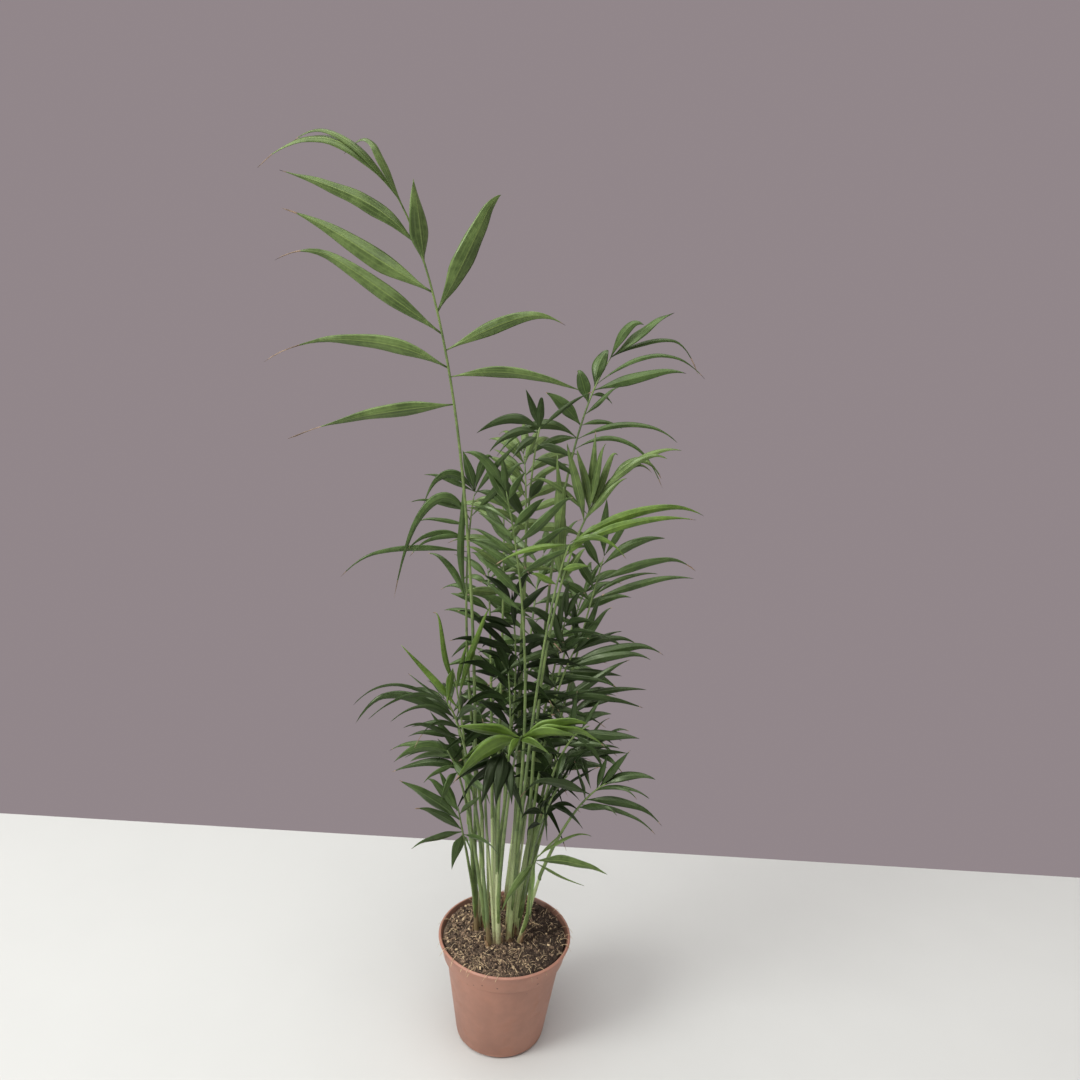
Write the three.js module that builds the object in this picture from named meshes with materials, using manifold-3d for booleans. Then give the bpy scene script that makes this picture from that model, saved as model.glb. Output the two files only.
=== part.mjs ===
// Parlour palm: a clump of young palms in a 12 cm nursery pot, about 0.78 m high.
// Millimetres, +Z up, the origin at the centre of the pot's underside.
// +X is to the right and -Y to the front, where the tall frond leans to the left.

import * as THREE from 'three';
import { mergeVertices } from 'three/addons/utils/BufferGeometryUtils.js';
import Module from 'manifold-3d';

const wasm = await Module();
wasm.setup();

const UP = new THREE.Vector3(0, 0, 1);
const EAST = new THREE.Vector3(1, 0, 0);

// ---------------------------------------------------------------- driving dimensions

const CLEARANCE = 0.3; // between two solids that sit on each other

const POT = {
  height: 105,
  rimRadius: 60,
  footRadius: 40,
  wall: 1.3,
  floor: 1.8,
  collarHeight: 21,
  collarStep: 3, // how far the collar stands out from the tapered body
  collarFlare: 3.6, // and how much wider it is at the lip than at its foot
  lipHeight: 2.6,
  lipReach: 1.4,
  footRounding: 2.5,
  segments: 32,
  drainHoles: 6,
  drainRadius: 3,
  drainCircle: 28,
  drainSides: 8,
};

const SOIL = { top: 101.5, segments: 24 };

// Each cane leans and tapers from its foot on the soil to the flat cut where its youngest frond goes on.
const CANE = { sides: 6, rings: 3, taper: 0.35, footFlare: 1.15 };
const CANES = {
  a: { foot: [-26, 2], top: [-31, 0, 205], radius: 2.6 },
  b: { foot: [-20, 8], top: [-26, 14, 215], radius: 2.5 },
  c: { foot: [-13, -16], top: [-22, -22, 190], radius: 2.7 },
  d: { foot: [-5, -14], top: [-9, -22, 185], radius: 3.0 },
  e: { foot: [4, -9], top: [6, -16, 225], radius: 3.2 },
  f: { foot: [10, -1], top: [17, -6, 215], radius: 2.8 },
  g: { foot: [-12, 27], top: [-18, 40, 200], radius: 2.6 },
  h: { foot: [-2, 36], top: [4, 52, 205], radius: 2.6 },
  i: { foot: [-26, 30], top: [-40, 44, 190], radius: 2.4 },
  j: { foot: [11, 16], top: [20, 24, 230], radius: 2.8 },
  k: { foot: [2, 12], top: [5, 14, 240], radius: 2.8 },
  l: { foot: [-10, 10], top: [-13, 6, 235], radius: 2.8 },
  m: { foot: [13, 30], top: [27, 44, 195], radius: 2.5 },
  n: { foot: [13, -10], top: [28, -20, 180], radius: 2.5 },
};

// A frond leaves its cane at height z, aims at the point bend and ends at the point tip. Its leaflets stand
// on the rest of that curve past the share bare, in pairs, at angles (degrees to the rib, first and last
// pair). droop is how far a leaflet's tip falls, as a share of its length. roll turns the blade about its
// rib in degrees, left and right lengthen the leaflets of one side, and faces is the way that the blade
// looks where that isn't back over the plant. aims are leaflets that point to a place of their own, each with
// its share of the blade, its tip (x, y, z), droop and width.
const STALK = { sides: 3, bareSteps: 2, bladeSteps: 4, foot: 1.9, end: 0.9 };
const BLADE = { pairs: 0, angles: [70, 34], width: 9, droop: 0.4, roll: 0, left: 1, right: 1, aims: [] };
const LEFT = -1;
const RIGHT = 1;
const FRONDS = {
  tall: {
    cane: 'a', z: 205, bend: [-43, 0, 650], tip: [-114, -4, 745], bare: 0.53,
    faces: [0, -1],
    aims: [
      [0.03, -166, 0, 561, 0.12, 13], [0.15, -180, 0, 632, 0.17, 13], [0.27, -185, -2, 702, 0.12, 14],
      [0.43, -186, -2, 719, 0.12, 17], [0.63, -186, -4, 751, 0.15, 14], [0.89, -199, -4, 758, 0.85, 11],
      [0.89, -183, -2, 775, 0.6, 7], [0.8, -143, -6, 768, 1.05, 8], [0.12, 36, -4, 603, 0.25, 10],
      [0.21, 18, -2, 653, 0.46, 12], [0.35, -32, 0, 751, 0.03, 18], [0.55, -96, -6, 748, 0, 18],
    ],
  },
  bright_front: {
    cane: 'd', z: 160, bend: [-2, -44, 322], tip: [6, -62, 338], bare: 0.5,
    faces: [0.4, -3],
    aims: [
      [0.83, -45, -70, 337, 0.12, 16], [0.75, -45, -78, 317, 0.45, 20], [0.71, -43, -74, 329, 0.3, 18],
      [0.79, -4, -80, 326, 0.5, 8], [0.83, 57, -62, 353, 0.3, 16], [0.79, 70, -66, 340, 0.5, 16],
      [0.75, 49, -70, 345, 0.35, 13], [0.71, 29, -72, 328, 0.35, 13],
    ],
  },
  left_arch: {
    cane: 'c', z: 190, bend: [-39, -35, 330], tip: [-55, -45, 353], bare: 0.42,
    faces: [0, -1],
    aims: [
      [0.47, -128, -50, 346, 0.86, 10], [0.78, -134, -30, 341, 0.9, 4], [0.87, -115, -60, 344, 0.85, 4],
      [0.62, -97, -66, 346, 0.8, 4], [0.47, -73, -70, 338, 0.7, 5], [0.3, -89, -60, 338, 0.5, 5],
      [0.59, -26, -60, 352, 1, 8], [0.97, -88, -24, 367, 0, 7],
    ],
  },
  left_upper: {
    cane: 'b', z: 215, bend: [-57, 12, 414], tip: [-44, 12, 514], bare: 0.5,
    faces: [0.2, -1],
    aims: [
      [1, -84, 2, 509, 1.5, 9], [1, -86, 16, 524, 0.3, 6], [0.84, -95, 8, 506, 0.15, 5],
      [0.77, -104, -4, 446, 1.9, 10], [0.73, -92, 18, 485, 0.25, 4.5], [0.62, -96, 4, 467, 0.6, 8],
      [0.65, -92, -8, 466, 0.5, 5], [0.54, -149, 0, 447, 0.38, 6], [0.21, -80, 24, 458, 0.6, 7],
      [1, -7, 2, 489, 0.75, 7], [0.87, -12, -8, 495, 0.4, 5], [0.63, 1, -6, 460, 0.35, 8],
      [0.22, -57, 8, 538, 0, 7], [1, -55, 12, 548, 0.1, 10], [1, -31, 10, 543, 1.2, 8],
      [0.8, -3, 0, 549, 0.1, 7], [0.96, -9, -6, 562, 0.15, 6],
    ],
  },
  right_top: {
    cane: 'j', z: 230, bend: [11, 30, 544], tip: [60, 60, 622], bare: 0.6,
    faces: [0, -1],
    aims: [
      [1, 109, 60, 660, 0.2, 11], [0.96, 84, 52, 650, 0.9, 10], [1, 129, 66, 632, 0.5, 5],
      [0.7, 135, 50, 614, 0.75, 5], [0.65, 121, 44, 620, 0.02, 11], [0.44, 68, 44, 602, 0.1, 5],
      [0.66, 57, 66, 627, 0.7, 14], [0.53, 33, 56, 613, 0.3, 13], [0.36, 9, 44, 592, 0.3, 13],
      [0.36, 73, 52, 566, 0.4, 5], [0.26, 118, 40, 564, 0.45, 6], [0.27, -28, 30, 546, 0.8, 10],
      [0.6, 64, 58, 584, 0.7, 4], [0.27, -5, 40, 539, 0.4, 8], [0.19, 106, 36, 534, 0.85, 5],
    ],
  },
  bright_right: {
    cane: 'e', z: 180, bend: [14, -30, 430], tip: [34, -40, 492], bare: 0.78,
    faces: [0, -1],
    aims: [
      [1, 135, -30, 523, 0.33, 9], [0.84, 125, -42, 519, 0.24, 8], [0.89, 74, -50, 489, 0.8, 6],
      [0.61, 57, -36, 510, 0.1, 7], [0.93, -19, -44, 474, 0.3, 6], [0.3, 50, -40, 474, 0.2, 7],
      [0, 5, -36, 465, 0.1, 7],
    ],
  },
  herring: {
    cane: 'e', z: 225, bend: [14, -15, 400], tip: [-19, 0, 522], bare: 0.62,
    faces: [0.2, -1],
    aims: [
      [0.67, 13, 0, 516, 0.05, 11], [0.53, 35, -6, 522, 0.05, 10], [0.41, 36, 0, 494, 0.15, 9],
      [0.29, 39, -8, 478, 0.2, 8], [0.49, -40, 8, 522, 0.05, 11], [0.57, -40, 6, 499, 0.1, 7],
      [0.43, -46, 0, 490, 0.1, 6], [0.33, -47, -4, 479, 0.15, 8], [0.11, -39, 0, 466, 0.1, 9],
      [0, -35, 2, 445, 0, 6], [0.96, -25, 4, 547, 0, 8], [0.89, -4, 4, 536, 0.1, 8],
      [0.96, -53, -4, 549, 0.7, 9], [0.86, -44, 10, 544, 0, 9],
    ],
  },
  low_right: {
    cane: 'n', z: 180, bend: [50, -34, 266], tip: [78, -40, 288], bare: 0.35,
    faces: [0, -1],
    aims: [
      [0.85, 116, -45, 299, 0.4, 10], [0.78, 112, -52, 284, 0.42, 4.5], [0.71, 101, -56, 289, 0.4, 4.5],
      [0.52, 123, -48, 264, 0.3, 9], [0.42, 119, -56, 258, 0.28, 5], [0.37, 86, -60, 275, 0.2, 7],
      [0.76, 76, -35, 310, 0, 8], [0.82, 93, -40, 318, 0, 9], [0.52, 50, -40, 305, 0.1, 8],
      [0.63, 9, -54, 289, 0.45, 11],
    ],
  },
  lowest: {
    cane: 'n', z: 135, bend: [20, -32, 214], tip: [27, -44, 218], bare: 0.55,
    faces: [0, -1],
    aims: [
      [0.23, 84, -44, 208, 0.2, 11], [0.18, 65, -52, 197, -0.1, 5], [0.51, 69, -36, 239, 0.3, 10],
      [0.42, 44, -30, 232, 0, 8], [0.18, -3, -60, 176, 0.3, 9], [0.18, 21, -66, 172, 0.2, 9],
    ],
  },
  low_left: {
    cane: 'a', z: 150, bend: [-37, -18, 201], tip: [-45, -30, 252], bare: 0.3,
    faces: [0, -1],
    aims: [
      [0.77, -93, -35, 277, 0.1, 13], [0.9, -72, -25, 278, 0.05, 9], [0.94, -64, -18, 280, 0, 8],
      [0.61, -77, -45, 259, 0.2, 9], [0.58, -82, -40, 214, 0.35, 10], [0.54, -48, -30, 192, 0.3, 13],
      [0.51, -30, -54, 221, 0.3, 7], [0.54, -7, -56, 224, 0.4, 7], [0.86, -28, -30, 268, 0, 8],
    ],
  },
  left_mid: {
    cane: 'c', z: 165, bend: [-39, -25, 279], tip: [-56, -30, 304], bare: 0.42,
    faces: [0, -1],
    aims: [
      [0.93, -101, -30, 303, 0.42, 8], [0.93, -98, -40, 295, 0.75, 11], [0.82, -87, -22, 287, 0.35, 8],
      [0.63, -73, -40, 280, 0.2, 6], [0.5, -58, -50, 266, 0.5, 10], [0.73, -32, -50, 278, 0.5, 10],
      [0.46, -17, -56, 275, 0.5, 10],
    ],
  },
  left_light: {
    cane: 'a', z: 170, bend: [-37, -10, 284], tip: [-55, -5, 366], bare: 0.5,
    faces: [0, -1],
    aims: [
      [0.55, -99, 0, 384, 0, 8], [0.77, -75, 6, 420, 0, 7], [1, -59, -12, 335, 0.3, 9],
      [0.77, -45, -6, 393, 0, 6], [0.67, -28, -4, 431, 0, 8],
    ],
  },
  centre_dark: {
    cane: 'd', z: 185, bend: [-12, -46, 310], tip: [-7, -60, 331], bare: 0.4,
    faces: [0, -3],
    aims: [
      [0.76, -30, -78, 314, 0.6, 13], [0.67, -23, -84, 289, 0.5, 14], [0.71, -10, -86, 289, 0.3, 14],
      [0.57, 1, -84, 291, 0.4, 13], [0.42, -38, -70, 287, 0.5, 11], [0.32, 10, -74, 277, 0.4, 10],
      [0.5, -46, -60, 292, 0.4, 9],
    ],
  },
  fan_low: {
    cane: 'f', z: 175, bend: [31, -10, 313], tip: [62, -15, 326], bare: 0.42,
    faces: [0, -1],
    aims: [
      [0.78, 104, -16, 316, 0.05, 11], [0.45, 80, -24, 313, 0.15, 7], [0.26, 96, -10, 304, 0, 8],
      [0.65, 75, -26, 294, 0.3, 9], [0.54, 49, -14, 357, 0, 8], [0.5, 11, -20, 334, 0.2, 8],
      [0.37, 36, -36, 276, 0.4, 10], [0.3, 5, -24, 304, 0.3, 9], [0.78, 69, -10, 348, 0.1, 6],
    ],
  },
  fan_high: {
    cane: 'f', z: 190, bend: [23, 10, 335], tip: [48, 20, 383], bare: 0.45,
    faces: [0, -1],
    aims: [
      [1, 40, 26, 431, 0, 8], [1, 67, 20, 434, 0, 8], [0.85, 73, 10, 427, 0, 9],
      [0.92, 86, 30, 394, 0.2, 5], [0.85, 97, 20, 394, 0.3, 8], [0.73, 118, 10, 390, 0.25, 12],
      [0.67, 109, 0, 389, 0.15, 10], [0.63, 88, 16, 359, 0.1, 8], [0.28, 91, 8, 379, 0, 9],
      [0.33, 111, 20, 344, 0.2, 8], [0.35, 106, 4, 339, 0.15, 8], [0.22, 73, 0, 323, 0.2, 6],
      [0.95, -25, -10, 357, 0.35, 8], [0.78, 20, 14, 424, 0, 8], [0.65, 7, 4, 405, 0, 8],
      [0.43, 1, -4, 368, 0.2, 8],
    ],
  },
  right_mid: {
    cane: 'j', z: 190, bend: [45, 40, 355], tip: [68, 70, 448], bare: 0.55,
    faces: [0, -1],
    aims: [
      [0.9, 118, 60, 472, 0.35, 10], [0.74, 143, 56, 453, 0.3, 9], [0.58, 147, 50, 437, 0.3, 8],
      [0.6, 115, 62, 440, 0.3, 5], [1, 65, 66, 502, 0.05, 10], [1, 90, 60, 492, 0.1, 7],
      [0.88, 42, 64, 475, 0.1, 9], [0.67, 37, 60, 456, 0.1, 10], [0.56, 27, 62, 428, 0.2, 9],
    ],
  },
  high_right: {
    cane: 'f', z: 215, bend: [10, 0, 463], tip: [67, 10, 536], bare: 0.58,
    faces: [0, -1],
    aims: [
      [0.92, 119, 10, 558, 0.4, 8], [0.89, 102, 4, 541, 1.1, 9], [0.73, 106, -6, 557, 0.5, 9],
      [0.61, 97, 14, 542, 0.8, 8], [0.5, 77, 0, 536, 0.3, 8], [0.64, 49, 18, 567, 0, 10],
      [0.48, 28, 0, 561, 0, 12], [0.57, 37, 10, 557, 0, 12], [0.54, 58, 4, 564, 0.2, 9],
      [0.6, 70, 14, 558, 0.3, 9], [0, 14, -8, 548, 0, 16], [0, 25, 6, 534, 0, 13],
      [0.55, 0, 8, 530, 0.4, 7], [0, 14, -4, 490, 0.1, 8], [0, 48, 8, 476, 0.1, 9],
    ],
  },
  centre_back: {
    cane: 'k', z: 240, bend: [-7, 15, 509], tip: [6, 30, 570], bare: 0.6,
    faces: [0, -2],
    aims: [
      [0.91, -8, 34, 596, 0.1, 8], [0.89, 5, 30, 595, 0.05, 9], [0.91, -45, 26, 560, 0.6, 11],
      [0.85, -34, 20, 549, 0.5, 9], [0.79, -15, 16, 543, 0.5, 9], [0.89, 44, 40, 595, 0.2, 5],
      [0.7, 35, 20, 542, 0.4, 9], [0.54, 40, 24, 526, 0.4, 8], [0.01, -30, 14, 537, 0.05, 12],
      [0.18, 12, 16, 531, 0.05, 11],
    ],
  },
  low_right_back: {
    cane: 'f', z: 150, bend: [24, -30, 262], tip: [46, -34, 290], bare: 0.35,
    pairs: 4, length: 50, droop: 0.4, roll: 10,
    aims: [
      [0.4, 59, -62, 258, 0.5, 7], [0.48, 68, -30, 295, 0.2, 11], [0.57, 53, -26, 301, 0.1, 10],
    ],
  },
  fan_base: {
    cane: 'm', z: 175, bend: [40, 20, 273], tip: [66, 6, 292], bare: 0.42,
    pairs: 4, angles: [72, 30], length: 48, droop: 0.35, roll: 20,
  },
  core_right: {
    cane: 'k', z: 215, bend: [28, 25, 347], tip: [36, 20, 405], bare: 0.35,
    pairs: 5, angles: [60, 34], length: 60, droop: 0.3, right: 0.7, faces: [0, -1],
  },
  inner: {
    cane: 'l', z: 235, bend: [5, 10, 334], tip: [-9, 15, 417], bare: 0.42,
    pairs: 4, angles: [62, 36], length: 60, droop: 0.3, left: 0.7, faces: [0, -1],
    aims: [
      [0.55, -61, 10, 392, 0.35, 8], [0.55, -55, 16, 418, 0.05, 7],
    ],
  },
  core: {
    cane: 'l', z: 200, bend: [0, 0, 300], tip: [-9, -10, 368], bare: 0.2,
    pairs: 5, angles: [78, 50], length: 60, width: 11, droop: 0.7,
  },
  back_low_left: {
    cane: 'i', z: 190, bend: [-50, 80, 278], tip: [-72, 108, 282], bare: 0.3,
    pairs: 4, length: 54, width: 10,
  },
  back_low: {
    cane: 'h', z: 160, bend: [8, 90, 262], tip: [10, 132, 262], bare: 0.3,
    pairs: 4, length: 64, width: 10,
  },
  back_low_right: {
    cane: 'm', z: 195, bend: [44, 80, 290], tip: [58, 108, 292], bare: 0.3,
    pairs: 4, length: 52, width: 11,
  },
  back_mid_left: {
    cane: 'g', z: 200, bend: [-30, 74, 400], tip: [-36, 112, 415], bare: 0.4,
    pairs: 4, length: 50, width: 11,
  },
  back_mid: {
    cane: 'h', z: 205, bend: [5, 80, 400], tip: [15, 130, 428], bare: 0.4,
    pairs: 4, length: 70, width: 10,
  },
  back_mid_right: {
    cane: 'k', z: 170, bend: [40, 74, 380], tip: [56, 104, 405], bare: 0.42,
    pairs: 4, length: 56, width: 10,
  },
  back_high: {
    cane: 'k', z: 190, bend: [2, 42, 500], tip: [-8, 85, 532], bare: 0.55,
    pairs: 4, length: 58, width: 11,
  },
  back_high_left: {
    cane: 'l', z: 180, bend: [-18, 58, 462], tip: [-24, 88, 486], bare: 0.5,
    pairs: 3, length: 48, width: 10,
  },
};

// A leaflet is a lance-shaped blade with a keel under its middle, and ends in a point. Each cross-section
// has its place along the leaflet, and its shares of the full width and thickness.
const LONG_SECTIONS = [[0, 0.2, 1], [0.3, 1, 1], [0.66, 0.75, 0.8]];
const SHORT_SECTIONS = [[0, 0.22, 1], [0.45, 1, 1]];
const ARCHED_SECTIONS = [[0, 0.2, 1], [0.25, 0.95, 1], [0.5, 1, 0.9], [0.77, 0.6, 0.8]];
const LEAFLET = {
  short: 75, // a frond whose leaflets are no longer than this has the short sections
  arched: 0.3, // and a leaflet that points to its own place and droops more than this the arched ones
  keel: 1.3, // thickness in mm, and at least keelShare of the length
  keelShare: 0.0105,
  lift: 0.22, // how steeply a pair folds up from the rib
  fallPower: 2.2, // a leaflet stays straight near the rib and falls towards its tip
  fallForward: 0.4,
  fallDown: 0.9,
  steep: 0.8, // a leaflet that points along its blade's upper side shows its width to the front instead
  front: new THREE.Vector3(0, -1, 0),
  room: 0.5, // kept free round it in mm
};
// A pair near the tip is shorter and narrower than one in the middle.
const GROWTH = { stagger: 0.22, reach: 0.97, short: 0.68, narrow: 0.85, endLength: 0.8, endWidth: 0.75 };
// How far one leaflet differs from the next.
const MESS = { angle: 12, length: 0.16, width: 0.15, lift: 0.18, droop: 0.5, twist: 24 };
// A leaflet that would touch another frond is folded up or down by these changes of lift in turn.
const LIFT_CHANGES = [0, 0.2, -0.2, 0.42, -0.42, 0.7, -0.7];

// ---------------------------------------------------------------- solids

const radians = THREE.MathUtils.degToRad;
const blend = THREE.MathUtils.lerp;
const point = (list) => new THREE.Vector3(...list);
const flat = (vector) => vector.clone().setZ(0).normalize();

// A closed geometry through rings of points that run anticlockwise about the way the loft goes.
function loft(rings, endPoint) {
  const sides = rings[0].length;
  const points = rings.flat();
  const faces = [];
  for (let ring = 0; ring + 1 < rings.length; ring += 1) {
    for (let side = 0; side < sides; side += 1) {
      const here = ring * sides + side;
      const next = ring * sides + (side + 1) % sides;
      faces.push(here, next, next + sides, here, next + sides, here + sides);
    }
  }
  const last = (rings.length - 1) * sides;
  for (let side = 1; side + 1 < sides; side += 1) {
    faces.push(0, side + 1, side);
    if (!endPoint) faces.push(last, last + side, last + side + 1);
  }
  if (endPoint) {
    for (let side = 0; side < sides; side += 1) {
      faces.push(last + side, last + (side + 1) % sides, points.length);
    }
    points.push(endPoint);
  }
  const geometry = new THREE.BufferGeometry().setFromPoints(points);
  geometry.setIndex(faces);
  return geometry;
}

function solidOf(geometry) {
  geometry.deleteAttribute('normal');
  geometry.deleteAttribute('uv');
  const merged = mergeVertices(geometry, 1e-4);
  const faces = [];
  for (let i = 0; i < merged.index.count; i += 3) {
    const [a, b, c] = [0, 1, 2].map((corner) => merged.index.getX(i + corner));
    if (a !== b && b !== c && c !== a) faces.push(a, b, c);
  }
  const vertProperties = new Float32Array(merged.attributes.position.array);
  const mesh = (corners) => (
    new wasm.Mesh({ numProp: 3, vertProperties, triVerts: new Uint32Array(corners) }));
  const solid = new wasm.Manifold(mesh(faces));
  return solid.volume() > 0 ? solid : new wasm.Manifold(mesh(faces.reverse()));
}

function meshOf(name, solid, material) {
  const { numProp, vertProperties, triVerts } = solid.getMesh();
  const positions = new THREE.InterleavedBuffer(vertProperties, numProp);
  const geometry = new THREE.BufferGeometry();
  geometry.setAttribute('position', new THREE.InterleavedBufferAttribute(positions, 3, 0));
  geometry.setIndex(new THREE.BufferAttribute(triVerts, 1));
  geometry.computeVertexNormals();
  const mesh = new THREE.Mesh(geometry, material);
  mesh.name = name;
  return mesh;
}

function turned(profile, segments) {
  const points = profile.map(([radius, z]) => new THREE.Vector2(radius, z));
  return solidOf(new THREE.LatheGeometry(points, segments).rotateX(Math.PI / 2));
}

// ---------------------------------------------------------------- pot and soil

const collarFoot = POT.height - POT.collarHeight;
const bodyTopRadius = POT.rimRadius - POT.lipReach - POT.collarFlare - POT.collarStep;
const bodySlope = (bodyTopRadius - POT.footRadius) / collarFoot;
const bodyRadius = (z) => POT.footRadius + bodySlope * z;
const collarTopRadius = POT.rimRadius - POT.lipReach;
// The step inside, over which the collar's inner wall starts.
const shelf = {
  radius: bodyTopRadius + POT.collarStep - POT.wall,
  z: collarFoot + POT.wall + POT.collarStep,
};
const collarInside = (z) => (
  blend(shelf.radius, collarTopRadius - POT.wall, (z - shelf.z) / (POT.height - shelf.z)));

function potSolid() {
  const lipFoot = POT.height - POT.lipHeight;
  const round = POT.footRounding;
  const profile = [
    [0, 0],
    [POT.footRadius - round, 0],
    [bodyRadius(round), round],
    [bodyTopRadius, collarFoot],
    [bodyTopRadius + POT.collarStep, collarFoot + POT.collarStep * 0.6],
    [collarTopRadius, lipFoot],
    [POT.rimRadius, lipFoot + POT.lipHeight * 0.4],
    [POT.rimRadius - POT.lipReach * 0.6, POT.height],
    [collarInside(POT.height), POT.height],
    [shelf.radius, shelf.z],
    [bodyTopRadius - POT.wall, collarFoot],
    [bodyRadius(POT.floor) - POT.wall, POT.floor],
    [0, POT.floor],
  ];
  let pot = turned(profile, POT.segments);
  for (let hole = 0; hole < POT.drainHoles; hole += 1) {
    const turn = (hole / POT.drainHoles) * 2 * Math.PI;
    const drill = new THREE.CylinderGeometry(POT.drainRadius, POT.drainRadius, POT.floor * 3, POT.drainSides)
      .rotateX(Math.PI / 2)
      .translate(Math.cos(turn) * POT.drainCircle, Math.sin(turn) * POT.drainCircle, 0);
    pot = pot.subtract(solidOf(drill));
  }
  return pot;
}

function soilSolid() {
  const foot = POT.floor + CLEARANCE;
  const room = CLEARANCE * 2;
  const inside = (z) => bodyRadius(z) - POT.wall - room;
  const profile = [
    [0, foot],
    [inside(foot), foot],
    [inside(collarFoot), collarFoot],
    [shelf.radius - room, shelf.z],
    [collarInside(SOIL.top) - room, SOIL.top],
    [0, SOIL.top],
  ];
  return turned(profile, SOIL.segments);
}

// ---------------------------------------------------------------- canes

const caneRise = (cane, z) => (z - SOIL.top) / (cane.top[2] - SOIL.top);

function caneAt(cane, z) {
  return new THREE.Vector3(...cane.foot, SOIL.top).lerp(point(cane.top), caneRise(cane, z));
}

function caneRadius(cane, z) {
  return cane.radius * (1 - CANE.taper * caneRise(cane, z));
}

// A ring of points at `centre`, across the way `along`.
function ringAt(centre, along, across, radius, sides) {
  const over = new THREE.Vector3().crossVectors(along, across).normalize();
  const start = new THREE.Vector3().crossVectors(over, along);
  return Array.from({ length: sides }, (_, side) => {
    const turn = (side / sides) * 2 * Math.PI;
    return centre.clone()
      .addScaledVector(start, Math.cos(turn) * radius)
      .addScaledVector(over, Math.sin(turn) * radius);
  });
}

function caneSolid(cane) {
  const foot = SOIL.top + CLEARANCE;
  const rings = [];
  for (let ring = 0; ring <= CANE.rings; ring += 1) {
    const z = blend(foot, cane.top[2], ring / CANE.rings);
    const radius = caneRadius(cane, z) * (ring === 0 ? CANE.footFlare : 1);
    rings.push(ringAt(caneAt(cane, z), UP, EAST, radius, CANE.sides));
  }
  return solidOf(loft(rings));
}

// ---------------------------------------------------------------- fronds

// Repeatable small differences.
class Dice {
  constructor(seed) {
    this.value = seed;
  }

  spread(reach) {
    this.value = (this.value * 1664525 + 1013904223) % 4294967296;
    return ((this.value / 4294967296) * 2 - 1) * reach;
  }
}

// How far a regular polygon reaches the way `toward` where one of its corners lies the way `corner`.
function polygonReach(sides, radius, corner, toward) {
  const turn = Math.atan2(toward.y, toward.x) - Math.atan2(corner.y, corner.x);
  const step = (2 * Math.PI) / sides;
  return radius * Math.cos(turn - Math.round(turn / step) * step);
}

// The rib from the cane, in three points: a stalk ends just over its cane's cut or beside its wall.
function ribOf(frond) {
  const cane = CANES[frond.cane];
  const start = caneAt(cane, frond.z);
  const rib = new THREE.QuadraticBezierCurve3(start, point(frond.bend), point(frond.tip));
  if (frond.z < cane.top[2]) {
    const outward = flat(rib.v1.clone().sub(start));
    const caneWall = polygonReach(CANE.sides, caneRadius(cane, frond.z), EAST, outward);
    const stalkWall = polygonReach(
      STALK.sides, STALK.foot, bladeNormal(frond, rib, 0), outward.clone().negate());
    start.addScaledVector(outward, caneWall + CLEARANCE + stalkWall);
  } else {
    start.z += CLEARANCE;
  }
  return rib;
}

// The rib's solid is straight between these shares of its curve.
function ribStations(frond) {
  const bare = Array.from({ length: STALK.bareSteps }, (_, step) => (frond.bare * step) / STALK.bareSteps);
  const blade = Array.from({ length: STALK.bladeSteps + 1 }, (_, step) => (
    blend(frond.bare, 1, step / STALK.bladeSteps)));
  return [...bare, ...blade];
}

function ribPoint(frond, rib, share) {
  const stations = ribStations(frond);
  const next = Math.max(1, stations.findIndex((station) => station >= share));
  const [before, after] = [stations[next - 1], stations[next]];
  return rib.getPoint(before).lerp(rib.getPoint(after), (share - before) / (after - before));
}

function ribDirection(rib, share) {
  const first = rib.v1.clone().sub(rib.v0);
  const second = rib.v2.clone().sub(rib.v1);
  return first.lerp(second, share).normalize();
}

// The way the blade's upper side looks at a place on the rib.
function bladeNormal(frond, rib, share) {
  const along = ribDirection(rib, share);
  const faces = frond.faces ? point([...frond.faces, 0]) : flat(rib.v2.clone().sub(rib.v0)).negate();
  const normal = UP.clone().addScaledVector(faces, 0.5);
  normal.addScaledVector(along, -normal.dot(along)).normalize();
  return normal.applyAxisAngle(along, radians(frond.roll));
}

function stalkSolid(frond, rib) {
  const rings = ribStations(frond).map((share) => {
    const along = share === 0 ? UP : ribDirection(rib, share);
    const radius = blend(STALK.foot, STALK.end, share);
    return ringAt(rib.getPoint(share), along, bladeNormal(frond, rib, share), radius, STALK.sides);
  });
  return solidOf(loft(rings));
}

// The places and sizes of a frond's leaflets, from the first pair to the two at its end.
function leafletRows(frond) {
  const rows = [];
  const longer = { [LEFT]: frond.left, [RIGHT]: frond.right };
  for (let pair = 0; pair < frond.pairs; pair += 1) {
    for (const side of [LEFT, RIGHT]) {
      const share = ((pair + 0.5 + GROWTH.stagger * side) / frond.pairs) * GROWTH.reach;
      const angle = blend(frond.angles[0], frond.angles[1], share ** 1.2);
      const fullness = Math.sin(Math.PI * Math.min(1, 0.15 + 0.75 * share));
      const length = frond.length * longer[side] * blend(GROWTH.short, 1, fullness);
      const width = frond.width * blend(GROWTH.narrow, 1, Math.sin(Math.PI * share));
      rows.push([share, side, angle, length, width]);
    }
  }
  if (rows.length > 0) {
    const length = frond.length * GROWTH.endLength;
    const width = frond.width * GROWTH.endWidth;
    for (const side of [LEFT, RIGHT]) rows.push([1, side, frond.angles[1] * 0.45, length, width]);
  }
  return rows;
}

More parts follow.
